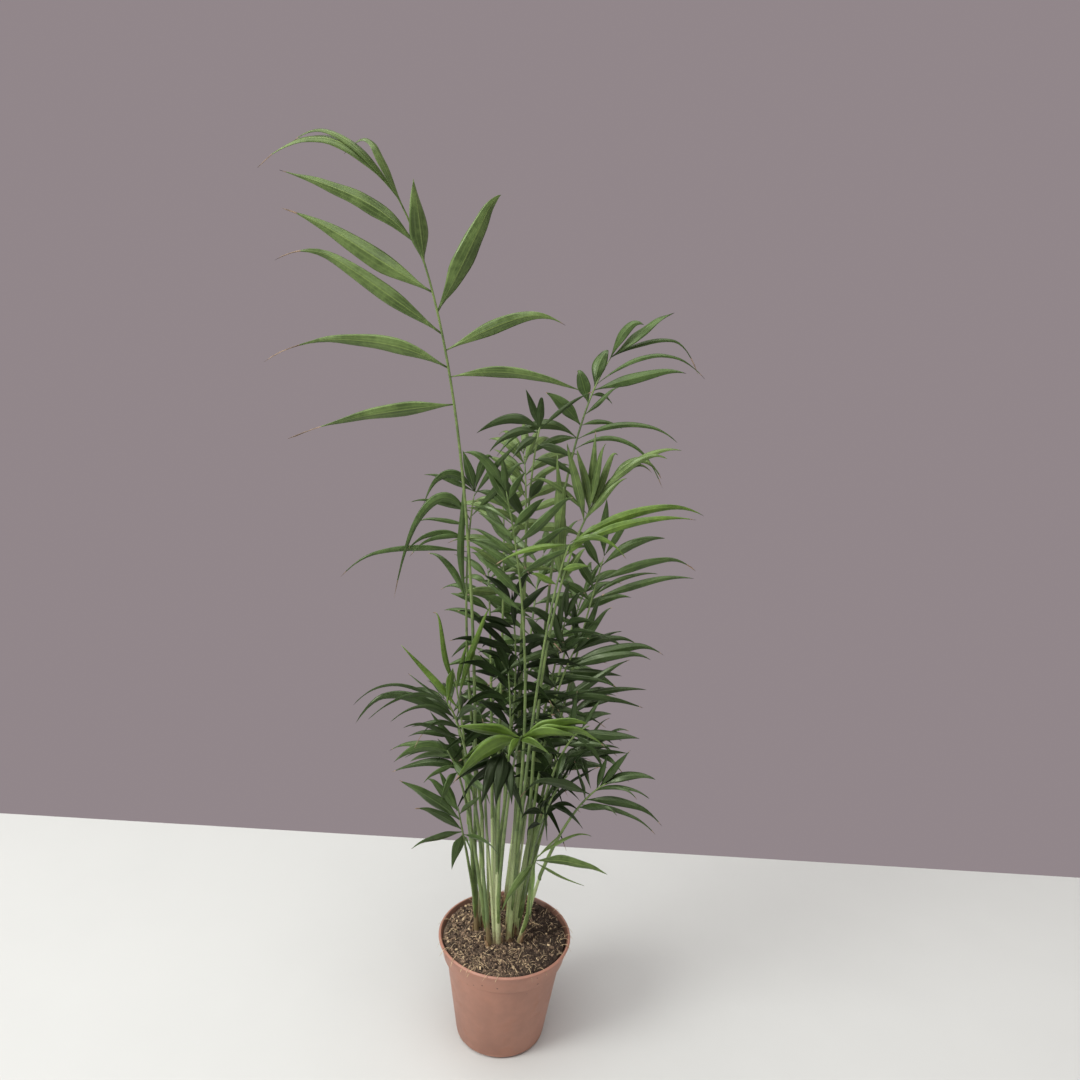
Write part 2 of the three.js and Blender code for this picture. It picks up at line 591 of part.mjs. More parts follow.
// The leaflets that point to a place of their own.
function aimedLeaflets(frond, rib, dice) {
  const fall = UP.clone().negate();
  return frond.aims.map(([share, x, y, z, droop, width]) => {
    const place = blend(frond.bare, 1, share);
    const root = ribPoint(frond, rib, place);
    const reach = point([x, y, z]).sub(root);
    const direction = reach.clone().addScaledVector(fall, -reach.length() * droop);
    const length = direction.length();
    const upper = bladeNormal(frond, rib, place);
    const steep = Math.abs(reach.clone().normalize().dot(upper)) > LEAFLET.steep;
    return {
      sections: droop > LEAFLET.arched ? ARCHED_SECTIONS : LONG_SECTIONS,
      root,
      direction: direction.divideScalar(length),
      normal: steep ? LEAFLET.front : upper,
      fall,
      length,
      width,
      droop: (droop * reach.length()) / length,
      twist: radians(dice.spread(MESS.twist)),
    };
  });
}

function pairedLeaflets(frond, rib, dice) {
  const fall = flat(rib.v2.clone().sub(rib.v0))
    .multiplyScalar(LEAFLET.fallForward)
    .addScaledVector(UP, -LEAFLET.fallDown);
  return leafletRows(frond).map(([share, side, angle, length, width]) => {
    const place = blend(frond.bare, 1, share);
    const along = ribDirection(rib, place);
    const normal = bladeNormal(frond, rib, place);
    const aside = new THREE.Vector3().crossVectors(along, normal).multiplyScalar(side);
    const spread = radians(angle + dice.spread(MESS.angle));
    return {
      sections: frond.length <= LEAFLET.short ? SHORT_SECTIONS : LONG_SECTIONS,
      root: ribPoint(frond, rib, place),
      length: length * (1 + dice.spread(MESS.length)),
      width: width * (1 + dice.spread(MESS.width)),
      direction: along.multiplyScalar(Math.cos(spread))
        .addScaledVector(aside, Math.sin(spread))
        .addScaledVector(normal, LEAFLET.lift + dice.spread(MESS.lift))
        .normalize(),
      normal,
      fall,
      droop: frond.droop * (1 + dice.spread(MESS.droop)),
      twist: radians(dice.spread(MESS.twist)),
    };
  });
}

// A leaflet's closed blade, folded up by `lift` and with `room` added all round it.
function leafletSolid(leaf, lift, room) {
  const direction = leaf.direction.clone().addScaledVector(leaf.normal, lift).normalize();
  const middle = (place) => leaf.root.clone()
    .addScaledVector(direction, leaf.length * place)
    .addScaledVector(leaf.fall, leaf.length * leaf.droop * place ** LEAFLET.fallPower);
  const keel = Math.max(LEAFLET.keel, leaf.length * LEAFLET.keelShare);
  // Its width turns with it as it falls, and is square to the upper side on the line from foot to tip.
  const aside = new THREE.Vector3().crossVectors(direction, leaf.fall).normalize();
  const chord = direction.clone().addScaledVector(leaf.fall, leaf.droop).normalize();
  const wide = new THREE.Vector3().crossVectors(chord, leaf.normal);
  const roll = Math.atan2(wide.dot(new THREE.Vector3().crossVectors(chord, aside)), wide.dot(aside));
  const rings = leaf.sections.map(([place, widthShare, keelShare]) => {
    const bending = leaf.droop * LEAFLET.fallPower * place ** (LEAFLET.fallPower - 1);
    const along = direction.clone().addScaledVector(leaf.fall, bending).normalize();
    const across = aside.clone().applyAxisAngle(along, roll + leaf.twist * place);
    const over = new THREE.Vector3().crossVectors(across, along);
    const half = (leaf.width * widthShare) / 2 + room;
    const centre = middle(place).addScaledVector(over, room);
    return [
      centre.clone().addScaledVector(across, half),
      centre.clone().addScaledVector(over, -keel * keelShare - 2 * room),
      centre.clone().addScaledVector(across, -half),
    ];
  });
  return solidOf(loft(rings, middle(1 + room / leaf.length)));
}

function boxesMeet(one, other) {
  return [0, 1, 2].every((axis) => one.min[axis] < other.max[axis] && other.min[axis] < one.max[axis]);
}

// ---------------------------------------------------------------- materials

const paint = (color, roughness) => new THREE.MeshStandardMaterial({ color, roughness, metalness: 0 });

// ---------------------------------------------------------------- assembly

const palm = new THREE.Group();
const obstacles = [];

function place(name, owner, solid, material) {
  palm.add(meshOf(name, solid, material));
  obstacles.push({ owner, solid, box: solid.boundingBox() });
}

place('pot', 'pot', potSolid(), paint(0x9a5a47, 0.6));
place('soil', 'soil', soilSolid(), paint(0x3b2a20, 0.95));
for (const [name, cane] of Object.entries(CANES)) {
  place(`cane_${name}`, name, caneSolid(cane), paint(0x8fa05c, 0.55));
}

const grown = Object.entries(FRONDS).map(([name, sizes], index) => {
  const frond = { ...BLADE, ...sizes };
  const rib = ribOf(frond);
  const stalk = stalkSolid(frond, rib);
  const dice = new Dice((index + 1) * 7368787);
  obstacles.push({ owner: name, solid: stalk, box: stalk.boundingBox() });
  return {
    name, pieces: [stalk], aimed: aimedLeaflets(frond, rib, dice), paired: pairedLeaflets(frond, rib, dice),
  };
});

function hasRoom(candidate, owner) {
  const box = candidate.boundingBox();
  return obstacles.every((obstacle) => obstacle.owner === owner
    || !boxesMeet(box, obstacle.box)
    || candidate.intersect(obstacle.solid).isEmpty());
}

// All the stalks have their places. Then come the leaflets with a place of their own, and the pairs find
// the room that is left.
for (const kind of ['aimed', 'paired']) {
  for (const { name, pieces, [kind]: leaflets } of grown) {
    for (const leaf of leaflets) {
      const change = LIFT_CHANGES.find((step) => hasRoom(leafletSolid(leaf, step, LEAFLET.room), name));
      if (change !== undefined) {
        const solid = leafletSolid(leaf, change, 0);
        pieces.push(solid);
        obstacles.push({ owner: name, solid, box: solid.boundingBox() });
      }
    }
  }
}
for (const { name, pieces } of grown) {
  palm.add(meshOf(`frond_${name}`, wasm.Manifold.union(pieces), paint(0x3f6b2a, 0.5)));
}

export default palm;
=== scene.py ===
# Parlour palm in a nursery pot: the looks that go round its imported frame.
# The growth rule works in millimetres, as the solids do, and every mesh is made in metres.

import functools
import math
import random

import bmesh
import bpy
from bpy.props import FloatProperty, FloatVectorProperty, IntProperty, PointerProperty
from mathutils import Matrix, Vector, noise
from mathutils.bvhtree import BVHTree


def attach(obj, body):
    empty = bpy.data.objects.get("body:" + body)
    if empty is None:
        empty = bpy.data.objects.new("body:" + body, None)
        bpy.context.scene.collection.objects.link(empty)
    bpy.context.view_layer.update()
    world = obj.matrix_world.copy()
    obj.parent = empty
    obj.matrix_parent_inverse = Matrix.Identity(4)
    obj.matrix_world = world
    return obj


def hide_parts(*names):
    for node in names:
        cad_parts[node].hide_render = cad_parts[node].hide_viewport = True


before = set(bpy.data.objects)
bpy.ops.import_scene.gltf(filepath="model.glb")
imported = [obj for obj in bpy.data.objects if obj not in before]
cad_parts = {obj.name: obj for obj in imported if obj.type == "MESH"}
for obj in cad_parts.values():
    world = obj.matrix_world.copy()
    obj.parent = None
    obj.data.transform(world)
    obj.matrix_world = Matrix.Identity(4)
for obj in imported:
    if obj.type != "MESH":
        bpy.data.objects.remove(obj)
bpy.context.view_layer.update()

bl_info = {
    "name": "Potted Parlour Palm",
    "version": (1, 0, 0),
    "blender": (4, 5, 0),
    "location": "View3D > Sidebar > Palm",
    "description": "Fine fronds, canes, soil and pot for a young parlour palm",
    "category": "Object",
}

MM = 0.001
BODY = "root"
UP = Vector((0, 0, 1))
EAST = Vector((1, 0, 0))
TURN = 2 * math.pi

# ---------------------------------------------------------------- sizes of the pot and the soil, in mm

CLEARANCE = 0.3
POT = {
    "height": 105, "rim_radius": 60, "foot_radius": 40, "wall": 1.3, "floor": 1.8, "collar_height": 21,
    "collar_step": 3, "collar_flare": 3.6, "lip_height": 2.6, "lip_reach": 1.4, "foot_rounding": 2.5,
    "drain_holes": 6, "drain_radius": 3, "drain_circle": 28,
}
SOIL_TOP = 101.5
COLLAR_FOOT = POT["height"] - POT["collar_height"]
COLLAR_TOP_RADIUS = POT["rim_radius"] - POT["lip_reach"]
BODY_TOP_RADIUS = COLLAR_TOP_RADIUS - POT["collar_flare"] - POT["collar_step"]
SHELF_RADIUS = BODY_TOP_RADIUS + POT["collar_step"] - POT["wall"]
SHELF_HEIGHT = COLLAR_FOOT + POT["wall"] + POT["collar_step"]
BODY_SLOPE = (BODY_TOP_RADIUS - POT["foot_radius"]) / COLLAR_FOOT
COLLAR_SLOPE = (COLLAR_TOP_RADIUS - POT["wall"] - SHELF_RADIUS) / (POT["height"] - SHELF_HEIGHT)
# The middle of the collar's wall, run down to z = 0.
COLLAR_MIDDLE = SHELF_RADIUS + POT["wall"] / 2 - SHELF_HEIGHT * COLLAR_SLOPE

# ---------------------------------------------------------------- the plant's sizes, in mm

# Each cane has its foot on the soil, the flat cut at its top, its radius at the foot, and its tint.
CANE = {"sides": 6, "taper": 0.35}
CANES = {
    "a": ((-26, 2), (-31, 0, 205), 2.6, "leafy"),
    "b": ((-20, 8), (-26, 14, 215), 2.5, "green"),
    "c": ((-13, -16), (-22, -22, 190), 2.7, "leafy"),
    "d": ((-5, -14), (-9, -22, 185), 3.0, "pale"),
    "e": ((4, -9), (6, -16, 225), 3.2, "green"),
    "f": ((10, -1), (17, -6, 215), 2.8, "green"),
    "g": ((-12, 27), (-18, 40, 200), 2.6, "green"),
    "h": ((-2, 36), (4, 52, 205), 2.6, "green"),
    "i": ((-26, 30), (-40, 44, 190), 2.4, "leafy"),
    "j": ((11, 16), (20, 24, 230), 2.8, "pale"),
    "k": ((2, 12), (5, 14, 240), 2.8, "green"),
    "l": ((-10, 10), (-13, 6, 235), 2.8, "pale"),
    "m": ((13, 30), (27, 44, 195), 2.5, "leafy"),
    "n": ((13, -10), (28, -20, 180), 2.5, "green"),
}

# A frond leaves its cane at height z, aims at the point bend and ends at the point tip. Its leaflets stand
# on the rest of that curve past the share bare, in pairs, at angles (degrees to the rib, first and last
# pair). droop is how far a leaflet's tip falls, as a share of its length. roll turns the blade about its
# rib in degrees, left and right lengthen the leaflets of one side, and faces is the way that the blade
# looks where that isn't back over the plant. aims are leaflets that point to a place of their own, each with
# its share of the blade, its tip (x, y, z), droop and width. tint is the frond's green.
STALK = {"bare_steps": 2, "blade_steps": 4, "foot": 1.9, "sides": 3}
BLADE = {
    "pairs": 0, "angles": (70, 34), "width": 9, "droop": 0.4, "roll": 0, "left": 1, "right": 1, "aims": (),
    "tint": "deep",
}
LEFT = -1
RIGHT = 1
# The shade green is painted shade, for fronds that lie in the crown's shadow.
FRONDS = {
    "tall": dict(
        cane="a", z=205, bend=(-43, 0, 650), tip=(-114, -4, 745), bare=0.53, faces=(0, -1), tint="fresh",
        aims=(
            (0.03, -166, 0, 561, 0.12, 13), (0.15, -180, 0, 632, 0.17, 13), (0.27, -185, -2, 702, 0.12, 14),
            (0.43, -186, -2, 719, 0.12, 17), (0.63, -186, -4, 751, 0.15, 14),
            (0.89, -199, -4, 758, 0.85, 11), (0.89, -183, -2, 775, 0.6, 7), (0.8, -143, -6, 768, 1.05, 8),
            (0.12, 36, -4, 603, 0.25, 10), (0.21, 18, -2, 653, 0.46, 12), (0.35, -32, 0, 751, 0.03, 18),
            (0.55, -96, -6, 748, 0, 18),
        ),
    ),
    "bright_front": dict(
        cane="d", z=160, bend=(-2, -44, 322), tip=(6, -62, 338), bare=0.5, faces=(0.4, -3), tint="bright",
        aims=(
            (0.83, -45, -70, 337, 0.12, 16), (0.75, -45, -78, 317, 0.45, 20),
            (0.71, -43, -74, 329, 0.3, 18), (0.79, -4, -80, 326, 0.5, 8), (0.83, 57, -62, 353, 0.3, 16),
            (0.79, 70, -66, 340, 0.5, 16), (0.75, 49, -70, 345, 0.35, 13), (0.71, 29, -72, 328, 0.35, 13),
        ),
    ),
    "left_arch": dict(
        cane="c", z=190, bend=(-39, -35, 330), tip=(-55, -45, 353), bare=0.42, faces=(0, -1),
        aims=(
            (0.47, -128, -50, 346, 0.86, 10), (0.78, -134, -30, 341, 0.9, 4),
            (0.87, -115, -60, 344, 0.85, 4), (0.62, -97, -66, 346, 0.8, 4), (0.47, -73, -70, 338, 0.7, 5),
            (0.3, -89, -60, 338, 0.5, 5), (0.59, -26, -60, 352, 1, 8), (0.97, -88, -24, 367, 0, 7),
        ),
    ),
    "left_upper": dict(
        cane="b", z=215, bend=(-57, 12, 414), tip=(-44, 12, 514), bare=0.5, faces=(0.2, -1), tint="mid",
        aims=(
            (1, -84, 2, 509, 1.5, 9), (1, -86, 16, 524, 0.3, 6), (0.84, -95, 8, 506, 0.15, 5),
            (0.77, -104, -4, 446, 1.9, 10), (0.73, -92, 18, 485, 0.25, 4.5), (0.62, -96, 4, 467, 0.6, 8),
            (0.65, -92, -8, 466, 0.5, 5), (0.54, -149, 0, 447, 0.38, 6), (0.21, -80, 24, 458, 0.6, 7),
            (1, -7, 2, 489, 0.75, 7), (0.87, -12, -8, 495, 0.4, 5), (0.63, 1, -6, 460, 0.35, 8),
            (0.22, -57, 8, 538, 0, 7), (1, -55, 12, 548, 0.1, 10), (1, -31, 10, 543, 1.2, 8),
            (0.8, -3, 0, 549, 0.1, 7), (0.96, -9, -6, 562, 0.15, 6),
        ),
    ),
    "right_top": dict(
        cane="j", z=230, bend=(11, 30, 544), tip=(60, 60, 622), bare=0.6, faces=(0, -1), tint="mid",
        aims=(
            (1, 109, 60, 660, 0.2, 11), (0.96, 84, 52, 650, 0.9, 10), (1, 129, 66, 632, 0.5, 5),
            (0.7, 135, 50, 614, 0.75, 5), (0.65, 121, 44, 620, 0.02, 11), (0.44, 68, 44, 602, 0.1, 5),
            (0.66, 57, 66, 627, 0.7, 14), (0.53, 33, 56, 613, 0.3, 13), (0.36, 9, 44, 592, 0.3, 13),
            (0.36, 73, 52, 566, 0.4, 5), (0.26, 118, 40, 564, 0.45, 6), (0.27, -28, 30, 546, 0.8, 10),
            (0.6, 64, 58, 584, 0.7, 4), (0.27, -5, 40, 539, 0.4, 8), (0.19, 106, 36, 534, 0.85, 5),
        ),
    ),
    "bright_right": dict(
        cane="e", z=180, bend=(14, -30, 430), tip=(34, -40, 492), bare=0.78, faces=(0, -1), tint="bright",
        aims=(
            (1, 135, -30, 523, 0.33, 9), (0.84, 125, -42, 519, 0.24, 8), (0.89, 74, -50, 489, 0.8, 6),
            (0.61, 57, -36, 510, 0.1, 7), (0.93, -19, -44, 474, 0.3, 6), (0.3, 50, -40, 474, 0.2, 7),
            (0, 5, -36, 465, 0.1, 7),
        ),
    ),
    "herring": dict(
        cane="e", z=225, bend=(14, -15, 400), tip=(-19, 0, 522), bare=0.62, faces=(0.2, -1), tint="mid",
        aims=(
            (0.67, 13, 0, 516, 0.05, 11), (0.53, 35, -6, 522, 0.05, 10), (0.41, 36, 0, 494, 0.15, 9),
            (0.29, 39, -8, 478, 0.2, 8), (0.49, -40, 8, 522, 0.05, 11), (0.57, -40, 6, 499, 0.1, 7),
            (0.43, -46, 0, 490, 0.1, 6), (0.33, -47, -4, 479, 0.15, 8), (0.11, -39, 0, 466, 0.1, 9),
            (0, -35, 2, 445, 0, 6), (0.96, -25, 4, 547, 0, 8), (0.89, -4, 4, 536, 0.1, 8),
            (0.96, -53, -4, 549, 0.7, 9), (0.86, -44, 10, 544, 0, 9),
        ),
    ),
    "low_right": dict(
        cane="n", z=180, bend=(50, -34, 266), tip=(78, -40, 288), bare=0.35, faces=(0, -1),
        aims=(
            (0.85, 116, -45, 299, 0.4, 10), (0.78, 112, -52, 284, 0.42, 4.5),
            (0.71, 101, -56, 289, 0.4, 4.5), (0.52, 123, -48, 264, 0.3, 9), (0.42, 119, -56, 258, 0.28, 5),
            (0.37, 86, -60, 275, 0.2, 7), (0.76, 76, -35, 310, 0, 8), (0.82, 93, -40, 318, 0, 9),
            (0.52, 50, -40, 305, 0.1, 8), (0.63, 9, -54, 289, 0.45, 11),
        ),
    ),
    "lowest": dict(
        cane="n", z=135, bend=(20, -32, 214), tip=(27, -44, 218), bare=0.55, faces=(0, -1), tint="fresh",
        aims=(
            (0.23, 84, -44, 208, 0.2, 11), (0.18, 65, -52, 197, -0.1, 5), (0.51, 69, -36, 239, 0.3, 10),
            (0.42, 44, -30, 232, 0, 8), (0.18, -3, -60, 176, 0.3, 9), (0.18, 21, -66, 172, 0.2, 9),
        ),
    ),
    "low_left": dict(
        cane="a", z=150, bend=(-37, -18, 201), tip=(-45, -30, 252), bare=0.3, faces=(0, -1), tint="mid",
        aims=(
            (0.77, -93, -35, 277, 0.1, 13), (0.9, -72, -25, 278, 0.05, 9), (0.94, -64, -18, 280, 0, 8),
            (0.61, -77, -45, 259, 0.2, 9), (0.58, -82, -40, 214, 0.35, 10), (0.54, -48, -30, 192, 0.3, 13),
            (0.51, -30, -54, 221, 0.3, 7), (0.54, -7, -56, 224, 0.4, 7), (0.86, -28, -30, 268, 0, 8),
        ),
    ),
    "left_mid": dict(
        cane="c", z=165, bend=(-39, -25, 279), tip=(-56, -30, 304), bare=0.42, faces=(0, -1), tint="mid",
        aims=(
            (0.93, -101, -30, 303, 0.42, 8), (0.93, -98, -40, 295, 0.75, 11),
            (0.82, -87, -22, 287, 0.35, 8), (0.63, -73, -40, 280, 0.2, 6), (0.5, -58, -50, 266, 0.5, 10),
            (0.73, -32, -50, 278, 0.5, 10), (0.46, -17, -56, 275, 0.5, 10),
        ),
    ),
    "left_light": dict(
        cane="a", z=170, bend=(-37, -10, 284), tip=(-55, -5, 366), bare=0.5, faces=(0, -1), tint="bright",
        aims=(
            (0.55, -99, 0, 384, 0, 8), (0.77, -75, 6, 420, 0, 7), (1, -59, -12, 335, 0.3, 9),
            (0.77, -45, -6, 393, 0, 6), (0.67, -28, -4, 431, 0, 8),
        ),
    ),
    "centre_dark": dict(
        cane="d", z=185, bend=(-12, -46, 310), tip=(-7, -60, 331), bare=0.4, faces=(0, -3), tint="shade",
        aims=(
            (0.76, -30, -78, 314, 0.6, 13), (0.67, -23, -84, 289, 0.5, 14), (0.71, -10, -86, 289, 0.3, 14),
            (0.57, 1, -84, 291, 0.4, 13), (0.42, -38, -70, 287, 0.5, 11), (0.32, 10, -74, 277, 0.4, 10),
            (0.5, -46, -60, 292, 0.4, 9),
        ),
    ),
    "fan_low": dict(
        cane="f", z=175, bend=(31, -10, 313), tip=(62, -15, 326), bare=0.42, faces=(0, -1),
        aims=(
            (0.78, 104, -16, 316, 0.05, 11), (0.45, 80, -24, 313, 0.15, 7), (0.26, 96, -10, 304, 0, 8),
            (0.65, 75, -26, 294, 0.3, 9), (0.54, 49, -14, 357, 0, 8), (0.5, 11, -20, 334, 0.2, 8),
            (0.37, 36, -36, 276, 0.4, 10), (0.3, 5, -24, 304, 0.3, 9), (0.78, 69, -10, 348, 0.1, 6),
        ),
    ),
    "fan_high": dict(
        cane="f", z=190, bend=(23, 10, 335), tip=(48, 20, 383), bare=0.45, faces=(0, -1),
        aims=(
            (1, 40, 26, 431, 0, 8), (1, 67, 20, 434, 0, 8), (0.85, 73, 10, 427, 0, 9),
            (0.92, 86, 30, 394, 0.2, 5), (0.85, 97, 20, 394, 0.3, 8), (0.73, 118, 10, 390, 0.25, 12),
            (0.67, 109, 0, 389, 0.15, 10), (0.63, 88, 16, 359, 0.1, 8), (0.28, 91, 8, 379, 0, 9),
            (0.33, 111, 20, 344, 0.2, 8), (0.35, 106, 4, 339, 0.15, 8), (0.22, 73, 0, 323, 0.2, 6),
            (0.95, -25, -10, 357, 0.35, 8), (0.78, 20, 14, 424, 0, 8), (0.65, 7, 4, 405, 0, 8),
            (0.43, 1, -4, 368, 0.2, 8),
        ),
    ),
    "right_mid": dict(
        cane="j", z=190, bend=(45, 40, 355), tip=(68, 70, 448), bare=0.55, faces=(0, -1), tint="mid",
        aims=(
            (0.9, 118, 60, 472, 0.35, 10), (0.74, 143, 56, 453, 0.3, 9), (0.58, 147, 50, 437, 0.3, 8),
            (0.6, 115, 62, 440, 0.3, 5), (1, 65, 66, 502, 0.05, 10), (1, 90, 60, 492, 0.1, 7),
            (0.88, 42, 64, 475, 0.1, 9), (0.67, 37, 60, 456, 0.1, 10), (0.56, 27, 62, 428, 0.2, 9),
        ),
    ),
    "high_right": dict(
        cane="f", z=215, bend=(10, 0, 463), tip=(67, 10, 536), bare=0.58, faces=(0, -1), tint="fresh",
        aims=(
            (0.92, 119, 10, 558, 0.4, 8), (0.89, 102, 4, 541, 1.1, 9), (0.73, 106, -6, 557, 0.5, 9),
            (0.61, 97, 14, 542, 0.8, 8), (0.5, 77, 0, 536, 0.3, 8), (0.64, 49, 18, 567, 0, 10),
            (0.48, 28, 0, 561, 0, 12), (0.57, 37, 10, 557, 0, 12), (0.54, 58, 4, 564, 0.2, 9),
            (0.6, 70, 14, 558, 0.3, 9), (0, 14, -8, 548, 0, 16), (0, 25, 6, 534, 0, 13),
            (0.55, 0, 8, 530, 0.4, 7), (0, 14, -4, 490, 0.1, 8), (0, 48, 8, 476, 0.1, 9),
        ),
    ),
    "centre_back": dict(
        cane="k", z=240, bend=(-7, 15, 509), tip=(6, 30, 570), bare=0.6, faces=(0, -2),
        aims=(
            (0.91, -8, 34, 596, 0.1, 8), (0.89, 5, 30, 595, 0.05, 9), (0.91, -45, 26, 560, 0.6, 11),
            (0.85, -34, 20, 549, 0.5, 9), (0.79, -15, 16, 543, 0.5, 9), (0.89, 44, 40, 595, 0.2, 5),
            (0.7, 35, 20, 542, 0.4, 9), (0.54, 40, 24, 526, 0.4, 8), (0.01, -30, 14, 537, 0.05, 12),
            (0.18, 12, 16, 531, 0.05, 11),
        ),
    ),
    "low_right_back": dict(
        cane="f", z=150, bend=(24, -30, 262), tip=(46, -34, 290), bare=0.35, pairs=4, length=50, droop=0.4,
        roll=10, tint="shade",
        aims=(
            (0.4, 59, -62, 258, 0.5, 7), (0.48, 68, -30, 295, 0.2, 11), (0.57, 53, -26, 301, 0.1, 10),
        ),
    ),
    "fan_base": dict(
        cane="m", z=175, bend=(40, 20, 273), tip=(66, 6, 292), bare=0.42, pairs=4, angles=(72, 30),
        length=48, droop=0.35, roll=20,
    ),
    "core_right": dict(
        cane="k", z=215, bend=(28, 25, 347), tip=(36, 20, 405), bare=0.35, pairs=5, angles=(60, 34),
        length=60, droop=0.3, right=0.7, faces=(0, -1),
    ),
    "inner": dict(
        cane="l", z=235, bend=(5, 10, 334), tip=(-9, 15, 417), bare=0.42, pairs=4, angles=(62, 36),
        length=60, droop=0.3, left=0.7, faces=(0, -1), tint="shade",
        aims=(
            (0.55, -61, 10, 392, 0.35, 8), (0.55, -55, 16, 418, 0.05, 7),
        ),
    ),
    "core": dict(
        cane="l", z=200, bend=(0, 0, 300), tip=(-9, -10, 368), bare=0.2, pairs=5, angles=(78, 50),
        length=60, width=11, droop=0.7, tint="shade",
    ),
    "back_low_left": dict(
        cane="i", z=190, bend=(-50, 80, 278), tip=(-72, 108, 282), bare=0.3, pairs=4, length=54, width=10,
    ),
    "back_low": dict(
        cane="h", z=160, bend=(8, 90, 262), tip=(10, 132, 262), bare=0.3, pairs=4, length=64, width=10,
    ),
    "back_low_right": dict(
        cane="m", z=195, bend=(44, 80, 290), tip=(58, 108, 292), bare=0.3, pairs=4, length=52, width=11,
    ),
    "back_mid_left": dict(
        cane="g", z=200, bend=(-30, 74, 400), tip=(-36, 112, 415), bare=0.4, pairs=4, length=50, width=11,
        tint="mid",
    ),
    "back_mid": dict(
        cane="h", z=205, bend=(5, 80, 400), tip=(15, 130, 428), bare=0.4, pairs=4, length=70, width=10,
        tint="mid",
    ),
    "back_mid_right": dict(
        cane="k", z=170, bend=(40, 74, 380), tip=(56, 104, 405), bare=0.42, pairs=4, length=56, width=10,
        tint="mid",
    ),
    "back_high": dict(
        cane="k", z=190, bend=(2, 42, 500), tip=(-8, 85, 532), bare=0.55, pairs=4, length=58, width=11,
        tint="fresh",
    ),
    "back_high_left": dict(
        cane="l", z=180, bend=(-18, 58, 462), tip=(-24, 88, 486), bare=0.5, pairs=3, length=48, width=10,
        tint="fresh",
    ),
}

# The places along a leaflet where its solid has a cross-section, and its end.
LONG_PLACES = (0.3, 0.66, 1)
SHORT_PLACES = (0.45, 1)
ARCHED_PLACES = (0.25, 0.5, 0.77, 1)
# short is the frond's leaflet length up to which the short places hold, arched the droop past which the
# arched ones do, and steep how close to the blade's normal a leaflet may point before its width is taken from
# the front.
LEAFLET = {
    "short": 75, "arched": 0.3, "lift": 0.22, "fall_power": 2.2, "fall_forward": 0.4, "fall_down": 0.9,
    "steep": 0.8,
}
FRONT = Vector((0, -1, 0))
LEAN = 0.5  # how far a blade's upper side leans over to the way that it faces
GROWTH = {
    "stagger": 0.22, "reach": 0.97, "closing": 1.2, "short": 0.68, "narrow": 0.85, "full_start": 0.15,
    "full_rise": 0.75, "end_angle": 0.45, "end_length": 0.8, "end_width": 0.75,
}
# The solids' leaflets and canes are a little broader than the fine ones.
SLIM = 0.88
SLIMMED = {"tall": 0.94, "bright_front": 1, "high_right": 0.74, "centre_back": 0.8, "left_light": 0.74}
SLIM_CANE = 0.88
# Thin young shoots stand between these canes, each with the share of the way from the first to the second.
SHOOTS = (
    ("a", "b", 0.5), ("b", "l", 0.45), ("c", "d", 0.55), ("e", "f", 0.5), ("k", "j", 0.5), ("g", "h", 0.5),
    ("d", "l", 0.4),
)
# Leaflets that only the fine fronds have: between the pairs, and low on the stalks of the inner fronds, whose
# dark leaves partly stand in for the shade in the crown's middle. FREE is the reach of their differences.
BETWEEN = {"angle": -12, "length": 1, "width": 0.72}
INNER_FRONDS = (
    "inner", "core_right", "back_low", "back_low_left", "back_low_right", "fan_base", "back_mid",
    "back_mid_left",
)
INNER = {"pairs": 4, "from": 0.25, "stagger": 0.2, "angle": 44, "length": 1.1, "width": 0.9}
FREE = {"angle": 22, "length": (0.72, 1.1), "droop": (0.3, 1.8), "twist": 35}
# The share of their length by which the dry threads of some aims go on past them.
THREADS = {"tall": {0: 0.24, 1: 0.25, 2: 0.12, 3: 0.07, 7: 0.1}}
MESS = {"angle": 12, "length": 0.16, "width": 0.15, "lift": 0.18, "droop": 0.5, "twist": 24}
LIFT_CHANGES = (0, 0.2, -0.2, 0.42, -0.42, 0.7, -0.7)
SEEDS = {"soil": 41, "canes": 900, "shoots": 700, "husks": 300}
SOLID_REACH = 0.6  # a leaflet whose middle line is this near to the frond's solid is the one that it holds


# ---------------------------------------------------------------- settings


def colour(name, description, red, green, blue):
    return FloatVectorProperty(
        name=name, description=description, subtype="COLOR", size=3, min=0, max=1, default=(red, green, blue)
    )


def length(name, description, size):
    return FloatProperty(name=name, description=description, unit="LENGTH", default=size * MM, min=0)


def share(name, description, value):
    return FloatProperty(name=name, description=description, subtype="FACTOR", default=value, min=0, max=1)


def count(name, description, number):
    return IntProperty(name=name, description=description, default=number, min=0)


def power(name, description, watts):
    return FloatProperty(name=name, description=description, default=watts, min=0)


class PotSettings(bpy.types.PropertyGroup):
    plastic: colour("Plastic", "Colour of the moulded pot", 0.385, 0.187, 0.128)
    # Rim colours the lip's rubbed wear together with a painted highlight on its top; a lighter copy of it is
    # the dust.
    rim: colour("Rim", "Paler colour of the rubbed lip", 0.385, 0.2, 0.14)
    # Soiling is also the mud and painted shade on the inner wall.
    soiling: colour("Soiling", "Colour of the splashed soil", 0.05, 0.03, 0.02)
    roughness: share("Roughness", "How dull the plastic is", 0.5)
    edge: length("Edge rounding", "Rounding of the moulded edges", 0.5)


class SoilSettings(bpy.types.PropertyGroup):
    crumbs: count("Crumbs", "Number of loose crumbs", 3000)
    fibres: count("Fibres", "Number of straw-like fibres", 260)
    rim_fibres: count("Fibres over the lip", "Number of straws that lie over the pot's lip", 26)
    relief: length("Relief", "Height of the soil's bumps", 1.6)
    dark: colour("Dark", "Colour of the moist soil", 0.035, 0.021, 0.013)
    light: colour("Light", "Colour of the dry soil", 0.28, 0.195, 0.125)
    straw: colour("Straw", "Colour of the fibres", 0.55, 0.42, 0.25)


